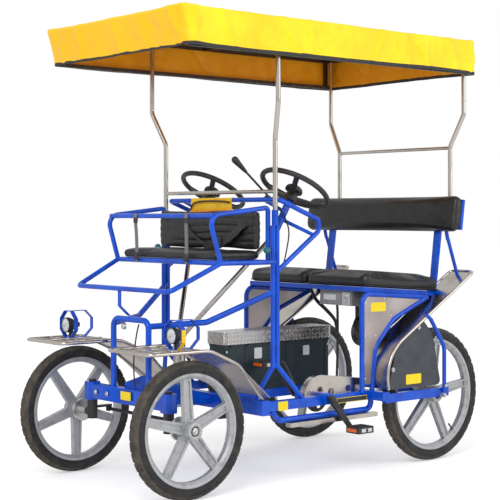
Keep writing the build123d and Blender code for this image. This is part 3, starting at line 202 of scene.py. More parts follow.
def worn_coat(name, tone, roughness):
    """Satin coat on steel, a little worn to grey where it turns sharply."""
    coat = Finish(name, specular_ior_level=0.5)
    worn = coat.geometry("Pointiness").ramp(0.53, 0.62) * coat.clouds(60, 4).ramp(0.45, 0.6) * 0.5
    roughness = coat.clouds(120, 3) * 0.16 + roughness
    return coat.coat(coat.mix(worn, tone, (0.16, 0.155, 0.15)), roughness, coat.clouds(600, 2), 0.12, 0.4)


BLACK = worn_coat("satin_black_coat", (0.02, 0.02, 0.021), 0.38)
# Painted shade and reflection: the canopy frame's dark brown stands for the shade under the canopy and the orange light
# it throws back.
BROWN_FRAME_SHADE = worn_coat("dark_brown_shade_coat", (0.030, 0.018, 0.008), 0.4)

# Injection-moulded plastic with a leathery spark grain
plastic = Finish("grained_black_plastic", specular_ior_level=0.5)
grain = plastic.cells(1400)
tone = plastic.mix(plastic.clouds(12, 4), (0.022, 0.022, 0.024), (0.033, 0.033, 0.036))
PLASTIC = plastic.coat(tone, grain * 0.12 + 0.45, grain, 0.18, 0.5)

# Coated cloth with a pebbled grain and soft creases; their hollows are painted darker as shade
vinyl = Finish("black_seat_vinyl", specular_ior_level=0.5)
pebbles = vinyl.cells(520, "SMOOTH_F1")
creases_and_painted_shade = vinyl.clouds(26, 6, 0.6, vinyl.scaled(1, 1.7, 1))
# Painted shade: the tone follows the crease relief and is darker in its hollows.
tone = vinyl.mix(creases_and_painted_shade.ramp(0.35, 0.75), (0.010, 0.010, 0.011), (0.022, 0.021, 0.022))
VINYL = vinyl.coat(tone, pebbles * 0.16 + creases_and_painted_shade * 0.08 + 0.24, pebbles * 0.3 + creases_and_painted_shade * 1.2, 1.4, 0.3)


def canopy_canvas():
    """Yellow coated canvas: a plain weave, faint clouding and ripples; painted shade darkens its front faces, crease
    valleys and underside, and a faint painted glow, deeper orange beneath, stands for light coming through.
    """
    cloth = Finish("yellow_canopy_canvas", sheen_weight=0.1, specular_ior_level=0.35)
    x, y, z = cloth.axes()
    threads = ((x + y) * 2600).sine() * 0.5 + ((z + y - x) * 2600).sine() * 0.5
    clouding = cloth.clouds(6, 5, 0.6).ramp(0.3, 0.7)
    under = cloth.geometry("Backfacing")
    upper_tone = cloth.mix(clouding, (0.95, 0.62, 0.0), (1.0, 0.76, 0.002))
    # Painted shade and light through the cloth: the underside is a darker orange copy of the upper tone.
    underside_shaded_tone = cloth.mix(clouding, (0.66, 0.27, 0.0), (0.76, 0.35, 0.002))
    # Painted shade: faces turned ahead are mixed toward a deeper orange.
    front_face_shade = cloth.axes(cloth.geometry("Normal"))[1].ramp(-0.4, -0.95)
    shaded_tone = cloth.mix(front_face_shade * 0.75, upper_tone, (0.95, 0.47, 0.0))
    # Painted shade: crease valleys, found by pointiness, are mixed toward a darker orange.
    crease_valley_shade = cloth.geometry("Pointiness").ramp(0.496, 0.470)
    crease_shaded_tone = cloth.mix(crease_valley_shade * 0.8, shaded_tone, (0.90, 0.42, 0.0))
    # Painted glow: a faint orange emission over the whole canvas, deeper orange underneath, though the canopy is no
    # lamp.
    cloth.set("Emission Color", cloth.mix(under, (1.0, 0.62, 0.0), (1.0, 0.34, 0.0)))
    cloth.set("Emission Strength", 0.07)
    ripples = cloth.clouds(18, 4, 0.55, cloth.scaled(1, 1, 0.35))
    pulls = (cloth.clouds(4.2, 1, 0.4, cloth.scaled(1, 1, 0.5)) - 0.5).size().ramp(0, 0.2)
    slants = (cloth.clouds(6.5, 1, 0.4, cloth.scaled(1, 1, 0.4)) - 0.52).size().ramp(0, 0.16)
    relief = threads * 0.008 + ripples * 0.3 + pulls * 0.7 + slants * 0.5
    return cloth.coat(cloth.mix(under, crease_shaded_tone, underside_shaded_tone), threads * 0.05 + 0.5, relief, 11, 0.7)


CANVAS = canopy_canvas()


def tread_plate():
    """Aluminium tread plate: short raised bars that alternate in direction, bright on top."""
    plate = Finish("tread_plate_alloy", metallic=1.0)
    x, y, z = plate.axes()
    cell = 0.019
    column, row = (x + z) / cell, y / cell
    parity = ((column.whole() + row.whole()) * 0.5).fraction() * 2
    u, v = column.fraction() - 0.5, row.fraction() - 0.5
    along = (u + v) * (1 - parity) + (u - v) * parity
    across = (u - v) * (1 - parity) + (u + v) * parity
    raised = ((along.size() / 0.62) ** 2 + (across.size() / 0.2) ** 2).ramp(1.0, 0.55)
    scuffs = plate.clouds(60, 5).ramp(0.45, 0.7)
    tone = plate.mix(raised, (0.50, 0.49, 0.48), (0.82, 0.81, 0.79))
    return plate.coat(tone, scuffs * 0.2 + 0.24, raised, 1.8, 0.9)


TREAD_PLATE = tread_plate()

# Bright zinc on small steel fittings
coat = Finish("bright_zinc", metallic=1.0)
tone = coat.mix(coat.cells(260), (0.55, 0.55, 0.54), (0.72, 0.72, 0.7))
ZINC = coat.coat(tone, coat.clouds(80, 4) * 0.22 + 0.22, coat.clouds(300, 3), 0.1, 0.4)

# Brushed stainless sheet: fine lines across, and brown-grey clouding that is a painted reflection of a room around it
sheet = Finish("brushed_stainless_sheet", metallic=0.75)
lines = sheet.clouds(60, 3, 0.6, sheet.scaled(1, 1.5, 60))
# Painted reflection: the brown-grey clouds stand for a room mirrored in the sheet.
tone = sheet.mix(sheet.clouds(5, 3).ramp(0.35, 0.65), (0.40, 0.345, 0.33), (0.56, 0.50, 0.48))
BRUSHED = sheet.coat(tone, lines * 0.15 + 0.34, lines, 0.1, 0.6)


def plain_enamel(name, colour, shade, roughness=0.35):
    """Paint on sheet metal, or plastic, rubbed darker in patches."""
    paint = Finish(name, specular_ior_level=0.5)
    tone = paint.mix(paint.clouds(16, 5, 0.6).ramp(0.4, 0.7), colour, shade)
    return paint.coat(tone, paint.clouds(90, 3) * 0.14 + roughness, paint.clouds(260, 3), 0.15, 0.4)


YELLOW = plain_enamel("yellow_enamel", (1.0, 0.64, 0.006), (0.92, 0.50, 0.005))
# Painted shade: a deeper orange copy of the yellow enamel, laid on the dash plate's lower fold.
FOLD_SHADE_ORANGE = plain_enamel("orange_painted_shade_enamel", (0.95, 0.36, 0.006), (0.82, 0.26, 0.005))
NAVY = plain_enamel("navy_plastic", (0.004, 0.016, 0.16), (0.003, 0.010, 0.10))
CASE_GREY = plain_enamel("grey_battery_case", (0.31, 0.305, 0.30), (0.22, 0.215, 0.21), 0.26)
BOX_TEAL = plain_enamel("dark_teal_box", (0.018, 0.038, 0.046), (0.011, 0.024, 0.030), 0.4)
TEAL = plain_enamel("teal_knob_plastic", (0.008, 0.16, 0.19), (0.006, 0.10, 0.13), 0.3)
GUARD_GREY = plain_enamel("slate_guard_plastic", (0.052, 0.058, 0.07), (0.036, 0.04, 0.05), 0.42)


def printed_foil(name, colour, shade):
    """A blank foil label: flat colour with a faint mottle and curl."""
    foil = Finish(name, specular_ior_level=0.4)
    tone = foil.mix(foil.clouds(70, 3), colour, shade)
    return foil.coat(tone, foil.clouds(40, 2) * 0.1 + 0.32, foil.clouds(30, 2), 0.2, 0.3)


YELLOW_FOIL = printed_foil("yellow_label_foil", (0.97, 0.76, 0.01), (0.88, 0.63, 0.008))
WHITE_FOIL = printed_foil("white_label_foil", (0.80, 0.82, 0.84), (0.70, 0.72, 0.74))


def prism_lens(name, colour, light):
    """Moulded reflector or lens plastic with small prisms behind a smooth face."""
    lens = Finish(name, specular_ior_level=0.6, coat_weight=0.6, coat_roughness=0.04)
    prisms = lens.cells(330)
    return lens.coat(lens.mix(prisms.ramp(0.1, 0.6), light, colour), prisms * 0.2 + 0.1, prisms, 0.6, 0.6)


AMBER = prism_lens("amber_reflector", (0.80, 0.10, 0.006), (0.95, 0.28, 0.02))
CLEAR_LENS = prism_lens("clear_lamp_lens", (0.55, 0.57, 0.60), (0.96, 0.97, 1.0))


def webbing(name, tone, light):
    """Woven strap: ribs along it and a close weave across."""
    strap = Finish(name, sheen_weight=0.2, specular_ior_level=0.3)
    x, y, z = strap.axes()
    weave = ((x + y + z) * 2100).sine() * 0.5 + ((x - y + z * 1.3) * 2300).sine() * 0.5
    return strap.coat(strap.mix(weave.ramp(-1, 1), tone, light), weave * 0.05 + 0.72, weave, 0.5, 0.5)


BELT = webbing("black_belt_webbing", (0.018, 0.017, 0.017), (0.045, 0.043, 0.042))
GREY_BELT = webbing("grey_strap_webbing", (0.13, 0.13, 0.135), (0.22, 0.22, 0.225))

# Black cable jacket, faintly ribbed and scuffed
jacket = Finish("black_cable_jacket", specular_ior_level=0.5)
scuffs = jacket.clouds(90, 4).ramp(0.5, 0.75)
tone = jacket.mix(scuffs, (0.014, 0.014, 0.015), (0.05, 0.05, 0.05))
CABLE = jacket.coat(tone, scuffs * 0.2 + 0.4, jacket.clouds(500, 2), 0.1, 0.4)

# Dark grey tape that binds the canopy's hem, with a close stitch
tape = Finish("dark_hem_binding", specular_ior_level=0.3)
x, y, z = tape.axes()
stitch = ((x + y) * 900).sine().ramp(0.6, 1.0)
HEM = tape.coat(tape.mix(stitch, (0.03, 0.03, 0.032), (0.09, 0.088, 0.085)), stitch * 0.1 + 0.66, stitch, 0.4, 0.5)

# Tread rubber with dry road dust in patches and a fine lighter mottle
tread = Finish("dusty_tread_rubber", specular_ior_level=0.25)
dust = tread.clouds(26, 6, 0.65).ramp(0.32, 0.68)
tone = tread.mix(dust, (0.028, 0.027, 0.026), (0.105, 0.088, 0.072))
tone = tread.mix(tread.cells(420).ramp(0.15, 0.6) * 0.25, tone, (0.16, 0.14, 0.12))
DUSTY_TREAD = tread.coat(tone, dust * 0.15 + 0.75, tread.clouds(700, 3), 0.3, 0.5)

# Black steel forging with a zinc-plated drum around the axle
steel = Finish("black_knuckle_zinc_drum", specular_ior_level=0.5)
x, y, z = steel.axes()
from_axle = ((y - FRONT_AXLE_Y) ** 2 + (z - 0.262) ** 2) ** 0.5
plated = from_axle.ramp(0.062, 0.060) * x.size().ramp(0.296, 0.298)
steel.set("Metallic", plated)
tone = steel.mix(plated, (0.02, 0.02, 0.021), steel.mix(steel.cells(240), (0.52, 0.53, 0.52), (0.74, 0.74, 0.70)))
KNUCKLE = steel.coat(tone, steel.clouds(90, 3) * 0.2 + 0.26, steel.clouds(500, 2), 0.1, 0.4)

# Every CAD node that shows keeps its shape and gets its finish

FRAMES = "front_beam chassis_frame front_frame side_panels bench_frame backrest_frame dash_frame lamp_guards"
NODES_IN_FINISH = (
    (BLUE, FRAMES + " child_seat_frame"),
    (BROWN_FRAME_SHADE, "canopy_frame"),
    (YELLOW, "dash_plate"),
    (STEEL, "front_mudguards rear_mudguards canopy_poles chain_guards side_boards steering_shafts"),
    (GUARD_GREY, "wheel_guards"),
    (ZINC, "rear_axles"),
    (BOX_TEAL, "storage_box"),
    (TREAD_PLATE, "box_lid"),
    (KNUCKLE, "knuckle_left knuckle_right"),
    (BLACK, "tie_rod cranks_left cranks_right brake_lever drive_motor"),
    (CASE_GREY, "battery_case"),
    (PLASTIC, "child_backrest name_plates steering_wheel_left steering_wheel_right headlamps"),
    (VINYL, "bench_cushions backrest_pad child_seat_cushion"),
    (CANVAS, "canopy"),
)
FINISH_OF_NODE = {name: material for material, names in NODES_IN_FINISH for name in names.split()}
FINISH_OF_KIND = {"rim": CAST, "tyre": RUBBER, "pedal": PLASTIC}
for name, node in NODES.items():
    material = FINISH_OF_KIND.get(name.split("_")[0]) or FINISH_OF_NODE[name]
    for material_slot in node.material_slots:
        material_slot.material = material


# Mesh tools


def new_piece(name, mesh, material, body="chassis"):
    """An object of the mesh, in its finish, riding on a body."""
    piece = bpy.data.objects.new(name, mesh)
    bpy.context.scene.collection.objects.link(piece)
    mesh.materials.append(material)
    mesh.shade_smooth()
    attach(piece, body)
    return piece


def mesh_of(name, vertices, faces):
    mesh = bpy.data.meshes.new(name)
    mesh.from_pydata([tuple(vertex) for vertex in vertices], [], faces)
    mesh.update()
    return mesh


def ring_faces(rings, around, looped=False):
    """Quads between closed rings of equal length; looped joins the last ring to the first."""
    faces = []
    for ring in range(rings if looped else rings - 1):
        low, high = ring * around, (ring + 1) % rings * around
        for step in range(around):
            after = (step + 1) % around
            faces.append((low + step, low + after, high + after, high + step))
    return faces


def rounded_outline(half_x, low_y, high_y, corner, count):
    """Points evenly along a rounded rectangle's edge, with their outward normals, in the XY plane."""
    middle_y = (low_y + high_y) / 2
    x, y = half_x - corner, (high_y - low_y) / 2 - corner
    arc = corner * math.pi / 2
    length = 4 * (x + y) + 4 * arc
    corners = ((x, -y), (-x, -y), (-x, y), (x, y), (x, -y))
    points = []
    for number in range(count):
        s = (number + 0.5) / count * length
        for quarter, straight in enumerate((2 * x, 2 * y, 2 * x, 2 * y)):
            centre_x, centre_y = corners[quarter]
            angle = math.radians(270 - 90 * quarter)
            if s <= straight:
                centre_x, centre_y = centre_x + math.sin(angle) * s, centre_y - math.cos(angle) * s
                break
            s -= straight
            centre_x, centre_y = corners[quarter + 1]
            angle -= s / corner
            if s <= arc:
                break
            s -= arc
        normal_x, normal_y = math.cos(angle), math.sin(angle)
        points.append((centre_x + corner * normal_x, centre_y + corner * normal_y + middle_y, normal_x, normal_y))
    return points


def face_outward(mesh, weld=0):
    """Welded where asked, with every face turned outward."""
    cleaner = bmesh.new()
    cleaner.from_mesh(mesh)
    if weld:
        bmesh.ops.remove_doubles(cleaner, verts=cleaner.verts, dist=weld)
    bmesh.ops.recalc_face_normals(cleaner, faces=cleaner.faces)
    cleaner.to_mesh(mesh)
    cleaner.free()


class Shape:
    """Vertices and faces of one piece, built up from turned, swept and chamfered forms."""

    def __init__(self):
        self.vertices = []
        self.faces = []

    def add(self, vertices, faces):
        start = len(self.vertices)
        self.vertices.extend(Vector(vertex) for vertex in vertices)
        self.faces.extend(tuple(start + corner for corner in face) for face in faces)

    def add_rings(self, vertices, around, looped=False):
        """Rings of vertices: the last ring joins the first, or else each end gets a flat face."""
        faces = ring_faces(len(vertices) // around, around, looped)
        if not looped:
            last = len(vertices) - around
            faces += [tuple(range(around - 1, -1, -1)), tuple(range(last, last + around))]
        self.add(vertices, faces)

    def turned(self, origin, axis, profile, sides=20, ring=False):
        """A lathe form: the profile's radii and heights along the axis are in mm; a ring's profile is a closed loop."""
        frame_of_axis = Vector(axis).to_track_quat("Z", "Y").to_matrix()
        vertices = []
        for radius, height in profile:
            for number in range(sides):
                angle = 2 * math.pi * number / sides
                local = Vector((radius * math.cos(angle), radius * math.sin(angle), height)) * MM
                vertices.append(Vector(origin) + frame_of_axis @ local)
        self.add_rings(vertices, sides, ring)

    def block(self, centre, size, edge=1.5):
        """A box with chamfered edges, in mm."""
        hull = bmesh.new()
        for signs in itertools.product((1, -1), repeat=3):
            for kept in range(3):
                at = [sign * (size[axis] / 2 - (axis != kept) * edge) * MM for axis, sign in enumerate(signs)]
                hull.verts.new(Vector(centre) + Vector(at))
        bmesh.ops.convex_hull(hull, input=hull.verts)
        bmesh.ops.dissolve_limit(hull, angle_limit=0.01, verts=hull.verts, edges=hull.edges)
        hull.verts.index_update()
        self.add([vert.co for vert in hull.verts], [[vert.index for vert in face.verts] for face in hull.faces])
        hull.free()


    def swept(self, points, section, side=None, closed=False):
        """The section, a list of across and up places, carried along the points."""
        points = [Vector(point) for point in points]
        last = len(points) - 1
        across = None
        vertices = []
        for number, point in enumerate(points):
            if closed:
                way = points[(number + 1) % len(points)] - points[number - 1]
            else:
                way = points[min(number + 1, last)] - points[max(number - 1, 0)]
            way.normalize()
            across = Vector(side) if side is not None else across or way.orthogonal()
            across = (across - way * way.dot(across)).normalized()
            upward = way.cross(across)
            vertices.extend(point + across * u + upward * v for u, v in section)
        self.add_rings(vertices, len(section), closed)

    def plate(self, outline, thickness, toward):
        """A flat plate: its outline of points, made thick in mm along the direction toward."""
        offset = Vector(toward).normalized() * thickness * MM
        count = len(outline)
        vertices = [Vector(point) for point in outline] + [Vector(point) + offset for point in outline]
        self.add_rings(vertices, count)

    def piece(self, name, material, body="chassis", sharp=35):
        mesh = mesh_of(name, self.vertices, self.faces)
        face_outward(mesh)
        made = new_piece(name, mesh, material, body)
        mesh.set_sharp_from_angle(angle=math.radians(sharp))
        return made


def turned_piece(name, origin, axis, profile, sides, material, body="chassis", ring=False):
    """A lathe form that is a piece of its own."""
    shape = Shape()
    shape.turned(origin, axis, profile, sides, ring)
    return shape.piece(name, material, body)


def block_piece(name, centre, size, edge, material, body="chassis"):
    shape = Shape()
    shape.block(centre, size, edge)
    return shape.piece(name, material, body)


def facing_out(side, x, table):
    """Places with their outward direction, on one side, from a table of places behind and up."""
    return [(place(side * x, behind, up), (side, 0, 0)) for behind, up in table]


def round_section(radius, sides=10):
    """The section of a round bar, its radius in mm."""
    angles = [2 * math.pi * n / sides for n in range(sides)]
    return [(radius * MM * math.cos(angle), radius * MM * math.sin(angle)) for angle in angles]


def flat_section(width, thickness):
    """A strap's section with rounded edges, in mm."""
    half, low = width * MM / 2, thickness * MM / 2
    rim, crown = half - low, low * 1.2
    return [(rim, -low), (half, 0), (rim, low), (0, crown), (-rim, low), (-half, 0), (-rim, -low), (0, -crown)]


def eased(points, steps=8):
    """A smooth line through the points, by Catmull's blend of each four neighbours."""
    points = [Vector(point) for point in points]
    ends = [points[0] * 2 - points[1]] + points + [points[-1] * 2 - points[-2]]
    line = []
    for a, b, c, d in zip(ends, ends[1:], ends[2:], ends[3:]):
        for step in range(steps):
            t = step / steps
            bend = (2 * a - 5 * b + 4 * c - d) * t**2 + (3 * b - a - 3 * c + d) * t**3
            line.append(0.5 * (2 * b + (c - a) * t + bend))
    line.append(points[-1])
    return line


def bolts(name, table, body="chassis", across=6.5, head=5.5):
    """Hexagon bolts with washers, one for each place and outward direction in the table, in mm."""
    shape = Shape()
    for point, outward in table:
        shape.turned(point, outward, [(across * 1.55, -0.4), (across * 1.55, 1), (across * 1.45, 1.4)], 16)
        rim = across * 1.08
        shape.turned(point, outward, [(rim, 1.2), (rim, head - 1), (across * 0.88, head)], 6)
    return shape.piece(name, ZINC, body, 30)


def cable(name, diameter, *points):
    """A loose cable through the points, of this diameter in mm."""
    line = eased(places(*points))
    shape = Shape()
    shape.swept(line, round_section(diameter / 2, 8))
    piece = shape.piece(name, CABLE)


# Canopy: one sheet sewn over its frame, with falling sides, a bound hem and pulled folds

CANOPY_FRONT, CANOPY_REAR = FRONT_AXLE_Y - 0.056, FRONT_AXLE_Y + 1.544
CANOPY_BARS = (CANOPY_FRONT, FRONT_AXLE_Y + 0.419, FRONT_AXLE_Y + 0.744, CANOPY_REAR)


def canopy_height(x, y):
    """The height of the cloth's top: taut over the bars, a little slack between them."""
    slack = 0.0
    for low, high in zip(CANOPY_BARS, CANOPY_BARS[1:]):
        if low <= y <= high:
            share = (y - low) / (high - low)
            slack = 4 * share * (1 - share) * (high - low) * 0.016
    across = max(0, 1 - (x / 0.456) ** 2)
    ripple = noise.noise(Vector((x * 3.1, y * 3.3, 4.7))) * 0.003
    fold = noise.noise(Vector((x * 9 + y * 4, y * 2.5, 1.7))) * 0.0016
    to_corner = math.hypot(abs(x) - 0.47, min(abs(y - CANOPY_FRONT + 0.03), abs(y - CANOPY_REAR)))
    return 1.8475 - slack * across + ripple + fold + 0.009 * math.exp(-to_corner / 0.06)


FOLD_PLACES = (0.012, 0.05, 0.085, 0.13, 0.17, 0.21, 0.247, 0.262, 0.30, 0.33, 0.375, 0.42, 0.47, 0.515)
FOLD_PLACES += (0.55, 0.59, 0.63, 0.67, 0.71, 0.738, 0.752, 0.79, 0.83, 0.87, 0.9, 0.935, 0.96, 0.985)


def fold_depth(along, share):
    """How far the falls stand out at a place along the hem: sharp pulled folds, some of them slanting."""
    depth = 0.0
    for index, spot in enumerate(FOLD_PLACES):
        slant = (0.012, -0.02, 0.004, -0.009)[index % 4] * (1 - share)
        offset = (along - spot + slant + 0.5) % 1 - 0.5
        width = (0.0050, 0.0080, 0.0036)[index % 3] * (1.3 - 0.6 * share)
        depth += (0.0125, 0.006, 0.009)[index % 3] * math.exp(-abs(offset / width) ** 1.4)
    return depth


def canopy_sheet():
    around = 840
    wall_rows = 22
    roof_rows = 30
    half_width = 0.4715
    front_top, front_hem = FRONT_AXLE_Y - 0.096, FRONT_AXLE_Y - 0.0575
    rear_top, rear_hem = FRONT_AXLE_Y + 1.549, FRONT_AXLE_Y + 1.5455
    edge_radius = 0.013
    hem = rounded_outline(half_width, front_hem, rear_hem, 0.022, around)
    top = rounded_outline(half_width, front_top, rear_top, 0.022, around)
    vertices = []
    for row in range(wall_rows + 1):
        share = row / wall_rows
        fall = 1 - share
        for number in range(around):
            hx, hy, nx, ny = hem[number]
            tx, ty, _, _ = top[number]
            along = number / around
            wave = noise.noise(Vector((hx * 7, hy * 7, 1.3 + share * 0.7))) * 0.007
            creased = abs(noise.noise(Vector((hx * 13 + share * 1.6, hy * 13 - share * 1.2, 5.3 + share * 1.1))))
            finer = abs(noise.noise(Vector((hx * 31, hy * 31, 9.3 + share * 4.1))))
            wave += 0.0045 - creased * (0.013 - 0.008 * fall) - finer * 0.004 * (1 - fall)
            gathered = 0.5 + 0.5 * math.sin(math.pi * (0.15 + 0.8 * share))
            out = max(-0.0005, wave) * (0.35 + 0.65 * fall) + fold_depth(along, share) * gathered
            x, y = hx + (tx - hx) * share + nx * out, hy + (ty - hy) * share + ny * out
            low = 1.6985 + noise.noise(Vector((hx * 1.8, hy * 1.8, 3.3))) * 0.008
            high = canopy_height(tx * 0.97, ty) - edge_radius
            vertices.append((x, y, low + (high - low) * share))
    rolled_rows = 5
    for row in range(1, roof_rows + 1):
        turn = math.radians(90) * min(1, row / rolled_rows)
        inset = edge_radius * (1 - math.cos(turn))
        rise = edge_radius * (1 - math.sin(turn))
        if row > rolled_rows:
            share = (row - rolled_rows) / (roof_rows - rolled_rows)
            inset = edge_radius + (half_width - edge_radius) * share**1.15
        for number in range(around):
            tx, ty, nx, ny = top[number]
            x = tx / half_width * (half_width - inset)
            back = (ty - front_top) / (rear_top - front_top)
            y = front_top + inset + back * (rear_top - front_top - 2 * inset)
            near = math.exp(-inset / 0.03) * fold_depth(number / around, 1) * 0.45
            vertices.append((x + nx * near, y + ny * near, canopy_height(x, y) - rise + near * 0.4))
    mesh = mesh_of("canopy_cloth", vertices, ring_faces(wall_rows + roof_rows + 1, around))
    face_outward(mesh, weld=0.0003)
    return mesh, [Vector(vertex) for vertex in vertices[:around]]


canopy_mesh, hem_line = canopy_sheet()
canopy = new_piece("canopy_cloth", canopy_mesh, CANVAS)
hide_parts("canopy")

binding = Shape()
hem_places = [point + Vector((0, 0, 0.0052)) for point in hem_line]
binding.swept(hem_places, flat_section(14.5, 3.6), side=UPWARD, closed=True)
hem_piece = binding.piece("canopy_hem_binding", HEM)

# Cushions: closed covers filled under cloth, held at their sewn edges


def shape_now(piece):
    """The piece's mesh as its modifiers leave it."""
    return bpy.data.meshes.new_from_object(piece.evaluated_get(bpy.context.evaluated_depsgraph_get()))


CLOTH_FRAMES = 14
CLOTH_SETTINGS = {"use_pressure": True, "vertex_group_mass": "sewn", "quality": 5, "bending_stiffness": 3}
CLOTH_SETTINGS |= {"tension_stiffness": 45, "compression_stiffness": 45, "shear_stiffness": 25}


def filled(name, shape, held, voxel, pressure, most):
    """The shape as a padded cover: its cloth is blown up against the held places, each point by at most a depth."""
    start = shape.piece(name, VINYL)
    even = start.modifiers.new("even_mesh", "REMESH")
    even.mode = "VOXEL"
    even.voxel_size = voxel
    mesh = shape_now(start)
    start.modifiers.clear()
    start.data = mesh
    if not mesh.materials:
        mesh.materials.append(VINYL)
    seams = start.vertex_groups.new(name="sewn")
    seams.add([vertex.index for vertex in mesh.vertices if held(vertex.co)], 1, "REPLACE")
    air = start.modifiers.new("air", "CLOTH")
    air.settings.uniform_pressure_force = pressure
    air.settings.effector_weights.gravity = 0
    for key, value in CLOTH_SETTINGS.items():
        setattr(air.settings, key, value)
    air.point_cache.frame_start = 1
    air.point_cache.frame_end = CLOTH_FRAMES
    for number in range(1, CLOTH_FRAMES + 1):
        bpy.context.scene.frame_set(number)
    blown = shape_now(start)
    bpy.context.scene.frame_set(1)
    start.modifiers.clear()
    for before, after in zip(mesh.vertices, blown.vertices):
        way = after.co - before.co
        if way.length > most:
            way *= most / way.length
        before.co += way
    start.data.shade_smooth()
    finer = start.modifiers.new("finer", "SUBSURF")
    finer.levels = 1
    finer.render_levels = 1
    return start


def pulled(x, y, across_x, half_x, length):
    """1 in the middle of a cushion's side, 0 at its corners."""
    return max(0, 1 - (x / half_x) ** 2 if across_x else 1 - ((y - length / 2) / (length / 2)) ** 2)


def slab(plane, half_x, length, height, pull, corner, soft):
    """A cushion's cover: rounded corners, sides that pull in between them and a softly rolled upper edge."""
    origin, across, along, upward = plane
    profile = [(-0.010, 0.0), (-0.002, 0.007), (0.0, 0.016)]
    for degrees in range(0, 91, 15):
        turn = math.radians(degrees)
        profile.append((soft * (math.cos(turn) - 1), height - soft + soft * math.sin(turn)))
    count = 96
    outline = rounded_outline(half_x, 0, length, corner, count)
    vertices = []
    for inset, level in profile:
        for x, y, nx, ny in outline:
            inward = inset - pull * pulled(x, y, abs(ny) > 0.5, half_x, length)
            vertices.append(origin + across * (x + nx * inward) + along * (y + ny * inward) + upward * level)
    shape = Shape()
    shape.add_rings(vertices, count)
    return shape


def padded(piece, node=None):
    """The piece declared as a padded cover, in place of the node if it has one."""
    # Hides the node that the piece stands in for, if there is one; the piece is not used.
    if node:
        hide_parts(node)


def tilted(turn):
    """The level direction across, and the two directions of a plane that falls backward by the turn in radians."""
    return Vector(LEFTWARD), Vector((0, math.cos(turn), -math.sin(turn))), Vector((0, math.sin(turn), math.cos(turn)))


ACROSS, BENCH_ALONG, BENCH_UPWARD = tilted(math.atan(0.075))
CUSHION_HALF, CUSHION_LENGTH = 0.1905, 0.459
PIPING_HALF, PIPING_LENGTH = 0.1912, 0.459
for side, name in SIDES:
    origin = place(side * 193, 946, 768.4)
    plane = (origin, ACROSS, BENCH_ALONG, BENCH_UPWARD)

    def sewn(point, origin=origin):
        local = point - origin
        x, y, z = local.x, local.dot(BENCH_ALONG), local.dot(BENCH_UPWARD)
        return z < 0.006 or (abs(z - 0.030) < 0.003 and (abs(x) > 0.15 and (y < 0.03 or y > 0.43)))

    shape = slab(plane, CUSHION_HALF, CUSHION_LENGTH, 0.060, 0.003, 0.030, 0.025)
    cushion = filled(f"bench_cushion_{name}", shape, sewn, 0.0078, 3.2, 0.012)
    padded(cushion, "bench_cushions" if side > 0 else None)
    line = []
    for x, y, nx, ny in rounded_outline(PIPING_HALF, -0.0006, 0.4596, 0.0306, 140):
        inward = 0.003 * pulled(x, y, abs(ny) > 0.5, PIPING_HALF, PIPING_LENGTH)
        line.append(origin + ACROSS * (x - nx * inward) + BENCH_ALONG * (y - ny * inward) + BENCH_UPWARD * 0.0075)
    piping = Shape()
    piping.swept(line, round_section(2.8, 6), side=BENCH_UPWARD, closed=True)
    piping.piece(f"bench_piping_{name}", VINYL)

# Backrest: a long pad in one cover with a sewn channel near each end, leaning back

ACROSS, DOWNWARD_BACK, BACK_UPWARD = tilted(math.radians(8))
BACK_FORWARD = -DOWNWARD_BACK
BACK_ORIGIN = place(0, 1435, 995.5)
BACK_CHANNEL = 0.4700


def back_sewn(point):
    local = point - BACK_ORIGIN
    z = local.dot(BACK_FORWARD)
    return z < 0.004 or (abs(abs(local.x) - BACK_CHANNEL) < 0.003 and z > 0.02)


shape = slab((BACK_ORIGIN, ACROSS, BACK_UPWARD, BACK_FORWARD), 0.4835, 0.161, 0.046, 0.002, 0.036, 0.024)
padded(filled("backrest_cover", shape, back_sewn, 0.0080, 3.0, 0.009), "backrest_pad")

# Child seat: a rolled cushion between its loops and a ribbed padded back

CHILD_ORIGIN = place(0, 183, 894.6)


def child_sewn(point):
    x, y, z = point - CHILD_ORIGIN
    return z < 0.004 or abs(x - 0.150) < 0.003


shape = slab((CHILD_ORIGIN, ACROSS, Vector(BACKWARD), Vector(UPWARD)), 0.318, 0.239, 0.034, 0.002, 0.024, 0.017)
padded(filled("child_cushion", shape, child_sewn, 0.0072, 2.4, 0.006), "child_seat_cushion")


def ribbed_back():
    """The child's backrest: one cover quilted in level ribs, both faces, with rounded ends."""
    half_x, low, high, behind = 0.3205, 0.936, 1.087, FRONT_AXLE_Y + 0.401
    ribs = 5
    columns = 150
    around = 132
    vertices = []
    for column in range(columns + 1):
        u = column / columns * 2 - 1
        end = min(1, (1 - abs(u)) * half_x / 0.022)
        swell = math.sqrt(1 - (1 - end) ** 2)
        sag = 0.0025 * math.sin(u * 5.3) + noise.noise(Vector((u * 3, 2.2, 0))) * 0.002
        for number in range(around):
            angle = 2 * math.pi * number / around
            z_share, side = math.cos(angle), math.sin(angle)
            level = (low + high) / 2 + (high - low) / 2 * z_share * (0.86 + 0.14 * swell)
            quilt = 0.64 + 0.36 * abs(math.sin(math.pi * ribs * (z_share + 1) / 2)) ** 0.3
            crimp = 1 + 0.05 * noise.noise(Vector((u * 14, z_share * 7, side * 2)))
            depth = 0.0205 * (abs(side) ** 0.35) * math.copysign(1, side) * quilt * crimp * (0.25 + 0.75 * swell)
            vertices.append((half_x * u, behind + depth, level + sag * swell))
    shape = Shape()
    shape.add_rings(vertices, around)
    return shape.piece("child_backrest_ribs", VINYL, sharp=60)


padded(ribbed_back(), "child_backrest")

# Tyres with a moulded tread, and the fittings of each wheel

